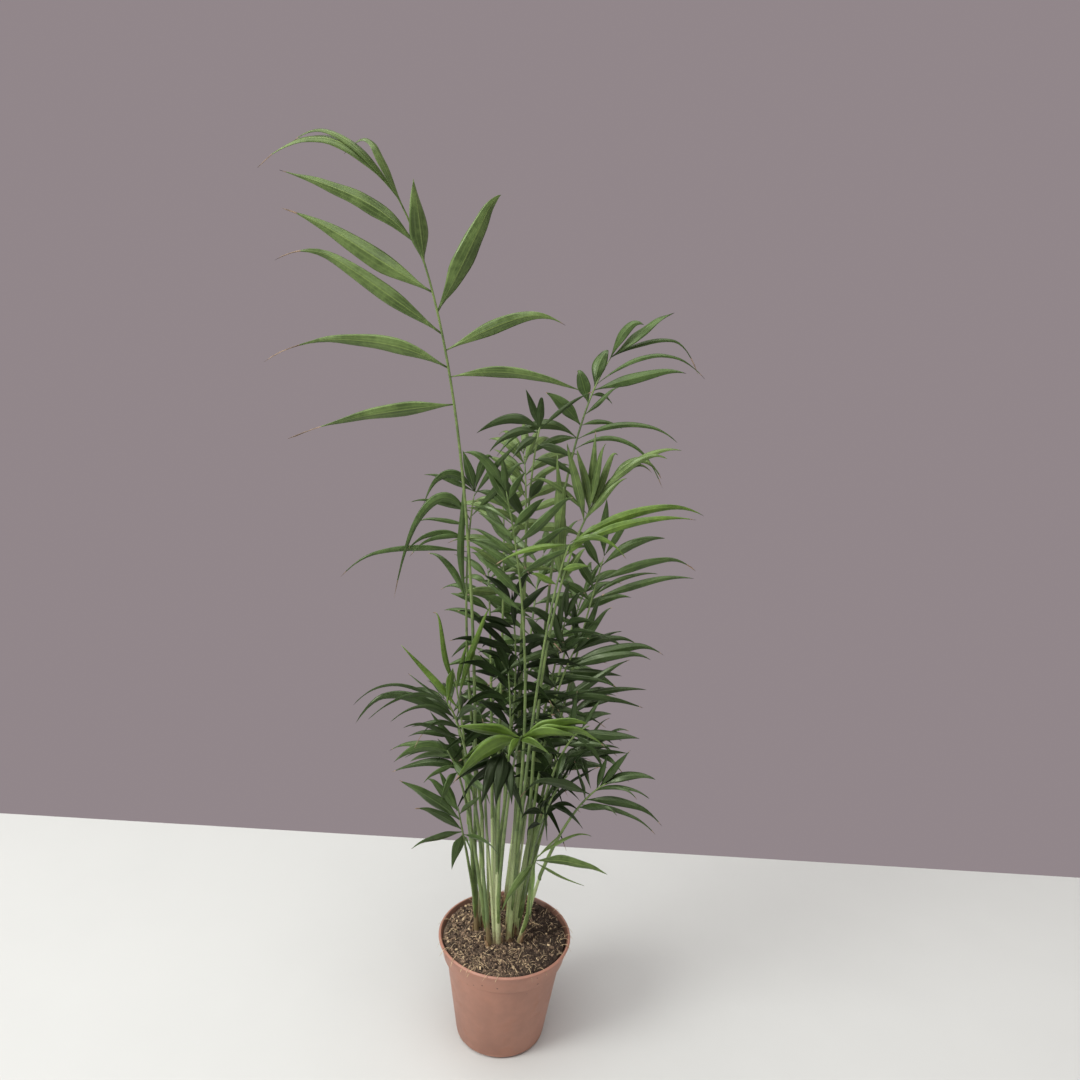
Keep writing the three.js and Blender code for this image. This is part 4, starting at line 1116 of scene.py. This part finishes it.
class PALM_OT_pot(bpy.types.Operator):
    """Turns the nursery pot and drills its drain holes"""

    bl_idname = "palm.pot"
    bl_label = "Pot"

    def execute(self, context):
        look = context.scene.palm_pot
        bm = bmesh.new()
        outline = [bm.verts.new(Vector((radius, 0, z)) * MM) for radius, z in pot_profile()]
        for pair in zip(outline, outline[1:]):
            bm.edges.new(pair)
        foot, collar = outline[3:5], outline[7:10]
        bmesh.ops.bevel(
            bm, geom=foot + collar, offset=look.edge, segments=POT_MESH["edge_steps"], profile=0.5,
            affect="VERTICES", material=-1,
        )
        bmesh.ops.spin(
            bm, geom=bm.verts[:] + bm.edges[:], cent=(0, 0, 0), axis=UP, angle=TURN,
            steps=POT_MESH["round_steps"], use_merge=True,
        )
        bmesh.ops.remove_doubles(bm, verts=bm.verts[:], dist=WELD)
        bmesh.ops.recalc_face_normals(bm, faces=bm.faces[:])
        for face in bm.faces:
            face.smooth = True
        for edge in bm.edges:
            if edge.is_manifold and edge.calc_face_angle() > math.radians(POT_MESH["hard_edge"]):
                edge.smooth = False
        self.drill(finish_piece("nursery_pot", bm, [pot_material(look)], ["pot"]))
        return {"FINISHED"}

    def drill(self, piece):
        bm = bmesh.new()
        for hole in range(POT["drain_holes"]):
            centre = around(hole / POT["drain_holes"] * TURN, POT["drain_circle"]) * MM
            bmesh.ops.create_cone(
                bm, cap_ends=True, segments=POT_MESH["hole_steps"], radius1=POT["drain_radius"] * MM,
                radius2=POT["drain_radius"] * MM, depth=POT_MESH["drill_length"] * MM,
                matrix=Matrix.Translation(centre),
            )
        drills = new_object("drills", bm)
        cut = piece.modifiers.new("drain_holes", "BOOLEAN")
        cut.operation = "DIFFERENCE"
        cut.solver = "EXACT"
        cut.object = drills
        with bpy.context.temp_override(object=piece, active_object=piece):
            bpy.ops.object.modifier_apply(modifier=cut.name)
        bpy.data.objects.remove(drills)


# ---------------------------------------------------------------- soil

# The soil's surface, in mm: the size of its bumps, its mound, and how it falls away near the wall.
GROUND = {
    "broad": 16, "fine": 4, "fine_height": 0.45, "mound": 1.6, "crown": 1.2, "crown_radius": 26, "fall": 2.4,
    "fall_from": 52, "fall_width": 5, "foot": 3,
}
FRACTAL = (0.7, 2.0, 4)  # the roughness, the step from octave to octave and the octaves of the fine bumps
# The gap to the wall, how far the soil has shrunk from it, and how wide and how common those places are.
SHRUNK = {"gap": 0.6, "most": 1.1, "spread": 1.3, "level": 5, "common": 0.35}
SOIL_UPPER = 0.62  # the share of the sheet's steps on the soil's upper side
# within is how near to the soil's edge a crumb or a straw may lie, as a share of the way from the middle.
CRUMBS = {
    "within": 0.97, "least": 0.35, "rarity": 1.8, "size": 1.45, "stretch": (0.6, 1.4), "rise": 0.25,
    "rough": 0.25, "brown": 0.45,
}
# How common dark, brown, light and straw crumbs are on the soil's left side and on its darker right side, how
# far right the darker side begins, and over how far, in mm.
LEFT_SIDE_CRUMBS = (5, 5, 5, 2)
DARKER_SIDE_CRUMBS = (11, 5, 1, 0.6)
DARKER_SIDE_CRUMBS_FROM = 5
DARKER_SIDE_CRUMBS_WIDTH = 25
# Sizes of the straws in mm, but for the bow, which is a share of their reach. rise is a middle and a spread.
STRAWS = {
    "within": 0.95, "reach": (3, 11), "bow": 0.14, "rise": (0.4, 1.6), "thick": (0.12, 0.3), "lift": 0.5,
    "inset": 0.6,
}
LIP_STRAWS = {
    "slant": 0.12, "inner": (50, 55), "outer": (61, 64), "sag": (1, 6), "thick": (0.16, 0.3), "lift": 2,
    "arch": 3.4,
}


def soil_edge(turn, z=SOIL_TOP):
    """How far the soil reaches, in mm: it has shrunk from the wall in places."""
    shrunk = noise.noise(around(turn, SHRUNK["spread"]) + UP * SHRUNK["level"]) + SHRUNK["common"]
    return inner_radius(z) - SHRUNK["gap"] - SHRUNK["most"] * max(0, shrunk)


class PALM_OT_soil(bpy.types.Operator):
    """Fills the pot with soil, with crumbs and straw-like fibres on it"""

    bl_idname = "palm.soil"
    bl_label = "Soil"

    def execute(self, context):
        look = context.scene.palm_soil
        self.relief = look.relief / MM
        self.dice = random.Random(SEEDS["soil"])
        self.body(look)
        self.crumbs(look)
        self.fibres(look)
        return {"FINISHED"}

    def height(self, spot):
        """The height of the soil's surface at a place, in mm."""
        spot = Vector((spot.x, spot.y, 0))
        radius = spot.length
        broad = noise.noise(spot / GROUND["broad"]) * self.relief
        fine = noise.fractal(spot / GROUND["fine"], *FRACTAL) * self.relief * GROUND["fine_height"]
        mound = GROUND["mound"] + GROUND["crown"] * math.exp(-(radius / GROUND["crown_radius"]) ** 2)
        fallen = -GROUND["fall"] * max(0, (radius - GROUND["fall_from"]) / GROUND["fall_width"]) ** 2
        return SOIL_TOP + mound + broad + fine + fallen

    def spot(self, reach):
        """A random place on the soil."""
        turn = self.dice.uniform(0, TURN)
        return around(turn, soil_edge(turn) * reach * math.sqrt(self.dice.random()))

    def body(self, look):
        bm = bmesh.new()

        def place(u, v):
            turn = u * TURN
            spot = around(turn, soil_edge(turn) * min(1, v / SOIL_UPPER))
            spot.z = self.height(spot)
            if v < SOIL_UPPER:
                return spot
            z = blend(spot.z, GROUND["foot"], (v - SOIL_UPPER) / (1 - SOIL_UPPER))
            return around(turn, soil_edge(turn, min(z, SOIL_TOP))) + UP * z

        start, end = sheet(bm, *STEPS["soil"], place, wrap=True)
        gather(bm, start)
        close(bm, end)
        bmesh.ops.recalc_face_normals(bm, faces=bm.faces[:])
        finish_piece("soil_body", bm, [soil_material(look)], ["soil"])

    def crumbs(self, look):
        bm = bmesh.new()
        for _ in range(look.crumbs):
            spot = self.spot(CRUMBS["within"])
            size = self.dice.uniform(CRUMBS["least"], 1.0) ** CRUMBS["rarity"] * CRUMBS["size"]
            made = bmesh.ops.create_icosphere(bm, subdivisions=1, radius=1)["verts"]
            stretch = Vector([self.dice.uniform(*CRUMBS["stretch"]) for _ in range(3)]) * size
            turn = self.dice.uniform(0, TURN)
            turn = Matrix.Rotation(turn, 3, Vector([self.dice.gauss(0, 1) for _ in range(3)]))
            spot.z = self.height(spot) + size * CRUMBS["rise"]
            # How far the crumb lies into the soil's darker right side, where darker crumbs are more common.
            darker_right = min(1, max(0, (spot.x - DARKER_SIDE_CRUMBS_FROM) / DARKER_SIDE_CRUMBS_WIDTH))
            shares = [blend(dry, right_share, darker_right) for dry, right_share in zip(LEFT_SIDE_CRUMBS, DARKER_SIDE_CRUMBS)]
            tone = self.dice.choices(range(len(shares)), shares)[0]
            for vertex in made:
                rough = 1 + self.dice.uniform(-CRUMBS["rough"], CRUMBS["rough"])
                vertex.co = (turn @ (vertex.co * rough * stretch) + spot) * MM
            for face in {face for vertex in made for face in vertex.link_faces}:
                face.material_index = tone
        brown = [blend(dark, light, CRUMBS["brown"]) for dark, light in zip(look.dark, look.light)]
        tones = {
            "dark": (look.dark, 0.95), "brown": (brown, 0.95), "light": (look.light, 0.95),
            "straw": (look.straw, 0.9),
        }
        materials = [
            patched_material(f"crumb_{tone}", values, grain=600.0, low=0.6, high=1.35, roughness=roughness)
            for tone, (values, roughness) in tones.items()
        ]
        finish_piece("soil_crumbs", bm, materials)

    def fibres(self, look):
        bm = bmesh.new()
        for _ in range(look.fibres):
            self.fibre(bm)
        for _ in range(look.rim_fibres):
            self.rim_fibre(bm)
        bmesh.ops.recalc_face_normals(bm, faces=bm.faces[:])
        straw = patched_material("straw_fibre", look.straw, grain=300.0, low=0.6, high=1.35, roughness=0.8)
        finish_piece("soil_fibres", bm, [straw])

    def straw(self, bm, line, thick, steps):
        """A thin straw with pointed ends, along a line that gives its middle and the way that it heads."""

        def place(u, v):
            middle, ahead = line(v)
            turn = u * TURN
            return middle + (ahead.cross(UP) * math.cos(turn) + UP * math.sin(turn)) * thick

        for end in sheet(bm, *steps, place, wrap=True):
            gather(bm, end)

    def fibre(self, bm):
        """A straw that lies on the soil."""
        start = self.spot(STRAWS["within"])
        way = self.dice.uniform(0, TURN)
        reach = self.dice.uniform(*STRAWS["reach"])
        bow = self.dice.uniform(-STRAWS["bow"], STRAWS["bow"]) * reach
        rise = max(0, self.dice.gauss(*STRAWS["rise"]))
        thick = self.dice.uniform(*STRAWS["thick"])
        ahead = around(way)
        aside = Vector((-ahead.y, ahead.x, 0))

        def line(v):
            point = start + ahead * reach * (v - 0.5) + aside * bow * math.sin(math.pi * v)
            edge = soil_edge(heading(point)) - STRAWS["inset"]
            if point.length > edge:
                point *= edge / point.length
            point.z = self.height(point) + STRAWS["lift"] + rise * math.sin(math.pi * v)
            return point, ahead

        self.straw(bm, line, thick, STEPS["straw"])

    def rim_fibre(self, bm):
        """A straw that lies over the pot's lip."""
        way = self.dice.uniform(0, TURN)
        slant = self.dice.uniform(-LIP_STRAWS["slant"], LIP_STRAWS["slant"])
        inner, outer = self.dice.uniform(*LIP_STRAWS["inner"]), self.dice.uniform(*LIP_STRAWS["outer"])
        sag = self.dice.uniform(*LIP_STRAWS["sag"])
        thick = self.dice.uniform(*LIP_STRAWS["thick"])

        def line(v):
            outward = around(way + slant * (v - 0.5))
            middle = outward * blend(inner, outer, v)
            arch = LIP_STRAWS["arch"] * math.sin(math.pi * v)
            middle.z = SOIL_TOP + LIP_STRAWS["lift"] + arch - sag * v ** 3
            return middle, outward

        self.straw(bm, line, thick, STEPS["lip_straw"])


# ---------------------------------------------------------------- canes

BROWN_TOPS = {"pale": 110, "green": 118, "leafy": 130}  # in mm, where the canes' brown feet end
ROOTED = 3  # in mm, how deep a cane stands in the soil
# A cane's surface: the swelling of its foot, the leaf scars with the taper between them, and its rounded top.
# oval and lobes keep it from being round.
CANE_SKIN = {
    "foot": 0.16, "foot_height": 7, "between": 0.07, "scar": 0.06, "scar_height": 1.2, "oval": 0.035,
    "lobes": 0.02, "top_from": 0.97, "top": 8,
}
SHOOT = {
    "top": (215, 265), "thick": (1.1, 1.6), "bow": 5, "taper": 0.35, "point_from": 0.9, "point_end": 1.01,
}
# Dry sheaths: how many a cane has, the turn that they cover, how high they rise, how loose each is, and their
# torn hem, in mm. ragged is the reach of the random place from which a hem's tears are taken.
HUSK = {
    "layers": (1, 2, 2, 3), "cover": (1.6, 3.6), "sunk": 1, "high": (8, 24), "lower": 0.4, "loose": 0.25,
    "looser": 0.3, "ragged": 50, "tears": 5, "tear": 5, "hem": 6, "hug": 1.02, "open": 0.7,
    "thickness": 0.35,
}


class PALM_OT_canes(bpy.types.Operator):
    """Grows the canes and the shoots between them, with leaf scars and dry husks at their feet"""

    bl_idname = "palm.canes"
    bl_label = "Canes"

    def execute(self, context):
        look = context.scene.palm_canes
        tints = tuple(BROWN_TOPS)
        gap = look.ring_gap / MM
        bm = bmesh.new()
        for index, name in enumerate(CANES):
            self.cane(bm, name, tints.index(CANES[name][3]), gap, random.Random(SEEDS["canes"] + index))
        for index, shoot in enumerate(SHOOTS):
            self.shoot(bm, *shoot, index % 2, random.Random(SEEDS["shoots"] + index))
        materials = [
            cane_material(f"cane_{tint}", getattr(look, tint), context.scene.palm_leaves.rib, look.husk, top)
            for tint, top in BROWN_TOPS.items()
        ]
        finish_piece("palm_canes", bm, materials, [f"cane_{name}" for name in CANES])
        bm = bmesh.new()
        for index, name in enumerate(CANES):
            self.husks(bm, name, random.Random(SEEDS["husks"] + index))
        husk = patched_material(
            "dry_husk", look.husk, grain=140.0, low=0.45, high=1.6, roughness=0.85, veins=16.0, depth=0.2
        )
        thicken(finish_piece("cane_husks", bm, [husk]), HUSK["thickness"] * MM, 0)
        return {"FINISHED"}

    def cane(self, bm, name, tint, gap, dice):
        top = CANES[name][1][2]
        first_ring = dice.uniform(0, gap)
        lobes = dice.uniform(0, TURN)

        def place(u, v):
            turn = u * TURN
            z = blend(SOIL_TOP - ROOTED, top, v)
            radius = cane_radius(name, max(z, SOIL_TOP))
            radius *= 1 + CANE_SKIN["foot"] * math.exp(-max(0, z - SOIL_TOP) / CANE_SKIN["foot_height"])
            ring = ((z - first_ring) % gap) / gap
            scar = CANE_SKIN["scar"] * math.exp(-((ring * gap) / CANE_SKIN["scar_height"]) ** 2)
            radius *= SLIM_CANE - CANE_SKIN["between"] * ring + scar
            oval = CANE_SKIN["oval"] * math.cos(2 * turn + lobes)
            radius *= 1 + oval + CANE_SKIN["lobes"] * math.cos(5 * turn + 3 * lobes)
            radius *= 1 - CANE_SKIN["top"] * max(0, v - CANE_SKIN["top_from"])
            return cane_at(name, z) + around(turn, radius)

        start, end = sheet(bm, *STEPS["cane"], place, tint, wrap=True)
        close(bm, start, tint)
        close(bm, end, tint)

    def shoot(self, bm, first, second, way, tint, dice):
        """A thin shoot between two canes, which goes up into the foliage and ends in a point."""
        top = dice.uniform(*SHOOT["top"])
        thick = dice.uniform(*SHOOT["thick"])
        most = SHOOT["bow"]
        bow = Vector((dice.uniform(-most, most), dice.uniform(-most, most), 0))

        def place(u, v):
            z = blend(SOIL_TOP - ROOTED, top, v)
            middle = cane_at(first, z).lerp(cane_at(second, z), way) + bow * v * v
            radius = thick * (1 - SHOOT["taper"] * v)
            if v >= SHOOT["point_from"]:
                radius *= (SHOOT["point_end"] - v) / (SHOOT["point_end"] - SHOOT["point_from"])
            return middle + around(u * TURN, radius)

        start, end = sheet(bm, *STEPS["shoot"], place, tint, wrap=True)
        close(bm, start, tint)
        gather(bm, end)

    def husks(self, bm, name, dice):
        """Ragged dry sheaths round the foot, open on one side."""
        for layer in range(dice.choice(HUSK["layers"])):
            middle = dice.uniform(0, TURN)
            wide = dice.uniform(*HUSK["cover"])
            low = SOIL_TOP - HUSK["sunk"]
            high = SOIL_TOP + dice.uniform(*HUSK["high"]) / (1 + HUSK["lower"] * layer)
            loose = HUSK["loose"] + HUSK["looser"] * layer
            ragged = dice.uniform(0, HUSK["ragged"])

            def place(u, v):
                tear = noise.noise(Vector((u * HUSK["tears"], ragged, 0))) * HUSK["tear"] * v
                z = blend(low, high - HUSK["hem"] * abs(u - 0.5) * 2, v) + tear
                radius = cane_radius(name, max(z, SOIL_TOP)) * HUSK["hug"] + loose + HUSK["open"] * v * v
                return cane_at(name, z) + around(middle + (u - 0.5) * wide, radius)

            sheet(bm, *STEPS["husk"], place)


# ---------------------------------------------------------------- ribs

# A rib's radius in mm at its start and end, and how it narrows. on_cane is the share of the sheet that runs
# down the cane, way_down the share of the cane below the stalk down which it runs, sinks_from where on that
# way it goes into the cane and sinks how deep, and foot its radius from the stalk down. stub is how deep in a
# cut cane the stalk starts.
RIB = {
    "radius": (1.7, 0.6), "narrowing": 0.8, "on_cane": 0.16, "way_down": (0.45, 1), "sinks_from": 0.7,
    "sinks": 2.6, "proud": 0.7, "joins": 3, "foot": (1.9, 1.2), "stub": 3, "groove": 0.22,
}


class PALM_OT_ribs(bpy.types.Operator):
    """Draws the stalk and rib of every frond, up from its cane, with its foot running down the cane"""

    bl_idname = "palm.ribs"
    bl_label = "Stalks and ribs"

    def execute(self, context):
        look = context.scene.palm_leaves
        bm = bmesh.new()
        for name, frond, rib, _ in grown_fronds():
            self.rib(bm, frond, rib, random.Random(name).uniform(*RIB["way_down"]))
        bmesh.ops.recalc_face_normals(bm, faces=bm.faces[:])
        green = patched_material(
            "green_rib", look.rib, grain=60.0, low=0.75, high=1.35, roughness=0.42, yellow=0.1, veins=5.0,
            depth=0.08,
        )
        finish_piece("frond_ribs", bm, [green])
        return {"FINISHED"}

    def rib(self, bm, frond, rib, way_down):
        base = RIB["on_cane"]
        cane = frond["cane"]

        def foot(down):
            """The middle, way and radius of the part that runs down the cane."""
            if not rib.beside:
                return rib.start - UP * (RIB["stub"] * down), UP, RIB["radius"][0]
            z = blend(frond["z"], SOIL_TOP, way_down * down)
            sunk = max(0, (down - RIB["sinks_from"]) / (1 - RIB["sinks_from"])) * RIB["sinks"]
            beside = cane_radius(cane, z) * SLIM_CANE + RIB["proud"] - sunk
            stalk = (rib.start - cane_at(cane, frond["z"])).length
            beside = blend(stalk, beside, min(1, down * RIB["joins"]))
            return cane_at(cane, z) + rib.outward * beside, UP, blend(*RIB["foot"], down)

        def place(u, v):
            share_of_rib = max(0, (v - base) / (1 - base))
            if v >= base:
                centre, along = rib.point(share_of_rib), rib.direction(share_of_rib)
                radius = blend(*RIB["radius"], share_of_rib ** RIB["narrowing"])
            else:
                centre, along, radius = foot((base - v) / base)
            normal = square_to(along, rib.normal(share_of_rib))
            turn = u * TURN
            groove = 1 - RIB["groove"] * max(0, math.cos(turn)) ** 4
            ring = normal * math.cos(turn) * groove + along.cross(normal) * math.sin(turn)
            return centre + ring * radius

        start, end = sheet(bm, *STEPS["rib"], place, wrap=True)
        close(bm, start)
        gather(bm, end)


# ---------------------------------------------------------------- leaflets

# The slot and the shine of each green. The shade green is painted shade, near black, for fronds deep in the
# crown's shadow.
TINTS = {
    "shade": ("frond_deep", 0.3), "deep": ("frond_deep", 0.5), "mid": ("frond_green", 0.5),
    "fresh": ("frond_green", 0.5), "bright": ("frond_bright", 0.5),
}
ACROSS = 8
ALONG = 20
THREAD_WIDTH = 0.8  # in mm, of the dry thread that some leaflets end in
DRY_FROM = 0.95
NEARBY = 0.01  # the share of a leaflet over which its direction is taken
OUTLINE = {"widest": 0.38, "foot": 0.13, "taper": 1.7, "point": 1.1}
# wave_length and threaded, the length from which a leaflet may end in a thread, are in mm. waves is a share
# of the width, ridges of half the width, and curl, wander, arch and thread of the length, where curl is a
# middle and a spread. folds are the angles of the blade's halves, in degrees, at the foot and past
# folded_until.
LEAF = {
    "waves": (0.02, 0.06), "wave_length": (24, 40), "curl": (0.04, 0.045), "curl_from": 0.72,
    "wander": 0.014, "wander_turns": 0.8, "arch": (0.01, 0.04), "thread": 0.05, "threaded": 40,
    "folds": (52, 13), "folded_until": 0.16, "tip_fold": 8, "ridges": 0.035, "ridge_turns": 1.5,
    "ridge_end": 1.1, "crowding": 1.15,
}


def outline(place):
    """A leaflet's width at a place along it, as a share of the widest."""
    widest = OUTLINE["widest"]
    if place < widest:
        rise = place / widest
        return blend(OUTLINE["foot"], 1, rise * rise * (3 - 2 * rise))
    fall = (place - widest) / (1 - widest)
    return max(0, 1 - fall ** OUTLINE["taper"]) ** OUTLINE["point"]


class PALM_OT_leaflets(bpy.types.Operator):
    """Makes the leaflets of every frond, one piece for each green"""

    bl_idname = "palm.leaflets"
    bl_label = "Leaflets"

    def execute(self, context):
        look = context.scene.palm_leaves
        dry = patched_material(
            "dry_leaf_tip", look.dry, grain=120.0, low=0.6, high=1.3, roughness=0.8, depth=0.1
        )
        for tint, (slot, shine) in TINTS.items():
            fronds = [grown for grown in grown_fronds() if grown[1]["tint"] == tint]
            bm = bmesh.new()
            for name, _, _, leaflets in fronds:
                for number, leaflet in enumerate(leaflets):
                    self.leaflet(bm, leaflet, random.Random(f"{name} {number}"))
            materials = [
                leaf_material(name, side, getattr(look, tint), look.roughness, shine)
                for name, side in ((f"leaf_{tint}", "upper"), (f"leaf_{tint}_under", "under"))
            ]
            nodes = [f"frond_{name}" for name, _, _, _ in fronds]
            piece = finish_piece(f"leaflets_{tint}", bm, [*materials, dry, dry], nodes)
            thicken(piece, look.thickness, 1)
        return {"FINISHED"}

    def leaflet(self, bm, leaf, dice):
        waves = dice.uniform(*LEAF["waves"]) * leaf.width
        wave_length = dice.uniform(*LEAF["wave_length"])
        phase = dice.uniform(0, TURN)
        curl = max(0, dice.gauss(*LEAF["curl"]))
        wander = dice.gauss(0, LEAF["wander"])
        arch = dice.uniform(*LEAF["arch"])
        thread = leaf.thread
        if not thread and leaf.length > LEAF["threaded"]:
            thread = max(0, dice.gauss(0, LEAF["thread"]))
        aside, roll = leaf.lie(leaf.change)
        side = turned(aside, leaf.pointing(leaf.change), roll)

        def middle(v):
            tip = max(0, (v - LEAF["curl_from"]) / (1 - LEAF["curl_from"]))
            point = leaf.middle(v, leaf.change) + leaf.offset * (1 - v)
            point += leaf.normal * arch * leaf.length * math.sin(math.pi * v)
            point += leaf.fall * curl * leaf.length * tip * tip
            return point + side * wander * leaf.length * math.sin(TURN * v * LEAF["wander_turns"])

        rows = []
        for row in range(ALONG + 1):
            v = row / ALONG * (1 + thread)
            along = (middle(v + NEARBY) - middle(max(0, v - NEARBY))).normalized()
            across = turned(square_to(along, aside), along, roll + leaf.twist * v)
            half = max(leaf.width / 2 * outline(min(1, v)), THREAD_WIDTH / 2)
            rows.append((middle(v), across, across.cross(along), half))

        def place(u, v):
            centre, across, over, half = rows[round(v * ALONG)]
            v *= 1 + thread
            x = (u - 0.5) * 2
            x = math.copysign(abs(x) ** LEAF["crowding"], x)
            unfolded = min(1, v / LEAF["folded_until"])
            fold = math.radians(blend(*LEAF["folds"], unfolded) + LEAF["tip_fold"] * v)
            wave = waves * x * x * math.sin(v * leaf.length / wave_length * TURN + phase)
            ridges = LEAF["ridges"] * half * math.cos(abs(x) * TURN * LEAF["ridge_turns"])
            ridges *= math.sin(math.pi * min(1, v * LEAF["ridge_end"]))
            height = wave + ridges - abs(x) * half * math.sin(fold)
            return centre + across * (x * half * math.cos(fold)) + over * height

        _, end = sheet(bm, ACROSS, ALONG, place, tip=(DRY_FROM / (1 + thread), 2))
        gather(bm, end)


# ---------------------------------------------------------------- stage

CAMERA = {
    "lens": 33.33, "sensor": 36, "right": 10.8, "back": 768.3, "height": 714.4, "pitch": 16.94, "roll": 3.42,
}
# The place and the width of each light in m, and the place that they all shine on.
LIGHTS = {
    "key": ((-1.8, -1.1, 1.7), 1.1), "fill": ((1.7, -0.9, 1.1), 1.4), "top": ((-0.3, -0.3, 2.6), 3),
}
LIT = Vector((0, 0, 0.35))
FLOOR_REACH = 4  # in m
FLOOR_DROP = 0.1  # in mm, so that the pot's foot doesn't lie in the floor


class PALM_OT_stage(bpy.types.Operator):
    """Sets the floor, the soft lights and the camera"""

    bl_idname = "palm.stage"
    bl_label = "Stage"

    def execute(self, context):
        look = context.scene.palm_stage
        self.floor(look)
        self.air(context.scene, look)
        for name, (place, width) in LIGHTS.items():
            self.light(f"{name}_light", place, width, getattr(look, name))
        self.camera(context.scene)
        return {"FINISHED"}

    def floor(self, look):
        bm = bmesh.new()
        left, right, front, back = -FLOOR_REACH, FLOOR_REACH, -FLOOR_REACH, look.floor_depth
        corners = [(left, front), (right, front), (right, back), (left, back)]
        bm.faces.new([bm.verts.new((x, y, -FLOOR_DROP * MM)) for x, y in corners])
        pale = patched_material("pale_floor", look.floor, grain=3.0, low=0.99, high=1.01, roughness=0.8)
        new_object("floor", bm, [pale])

    def air(self, scene, look):
        world = bpy.data.worlds.new("studio")
        world.use_nodes = True
        background = world.node_tree.nodes["Background"].inputs
        background["Color"].default_value = solid_colour(look.air)
        background["Strength"].default_value = 1.0
        scene.world = world

    def light(self, name, place, width, watts):
        light = bpy.data.lights.new(name, "AREA")
        light.shape = "DISK"
        light.size = width
        light.energy = watts
        lamp = bpy.data.objects.new(name, light)
        lamp.location = place
        lamp.rotation_euler = (LIT - Vector(place)).to_track_quat("-Z", "Y").to_euler()
        link(lamp)

    def camera(self, scene):
        data = bpy.data.cameras.new("camera")
        data.lens = CAMERA["lens"]
        data.sensor_width = CAMERA["sensor"]
        camera = bpy.data.objects.new("camera", data)
        turn = Matrix.Rotation(math.radians(90 - CAMERA["pitch"]), 4, "X")
        turn = turn @ Matrix.Rotation(math.radians(CAMERA["roll"]), 4, "Z")
        place = Vector((CAMERA["right"], -CAMERA["back"], CAMERA["height"])) * MM
        camera.matrix_world = Matrix.Translation(place) @ turn
        link(camera)
        scene.camera = camera


# ---------------------------------------------------------------- add-on

OPERATORS = (PALM_OT_stage, PALM_OT_pot, PALM_OT_soil, PALM_OT_canes, PALM_OT_ribs, PALM_OT_leaflets)


class PALM_PT_panel(bpy.types.Panel):
    """Lists the settings and the steps"""

    bl_label = "Parlour Palm"
    bl_idname = "PALM_PT_panel"
    bl_space_type = "VIEW_3D"
    bl_region_type = "UI"
    bl_category = "Palm"

    def draw(self, context):
        for name, settings in SETTINGS.items():
            box = self.layout.box()
            for key in settings.__annotations__:
                box.prop(getattr(context.scene, name), key)
        for operator in OPERATORS:
            self.layout.operator(operator.bl_idname)


CLASSES = (*SETTINGS.values(), *OPERATORS, PALM_PT_panel)


def register():
    for item in CLASSES:
        bpy.utils.register_class(item)
    for name, settings in SETTINGS.items():
        setattr(bpy.types.Scene, name, PointerProperty(type=settings))


def unregister():
    for name in SETTINGS:
        delattr(bpy.types.Scene, name)
    for item in reversed(CLASSES):
        bpy.utils.unregister_class(item)


def main():
    register()
    bpy.context.scene.view_settings.view_transform = "Standard"
    for operator in OPERATORS:
        group, name = operator.bl_idname.split(".")
        getattr(getattr(bpy.ops, group), name)()


if __name__ == "__main__":
    main()
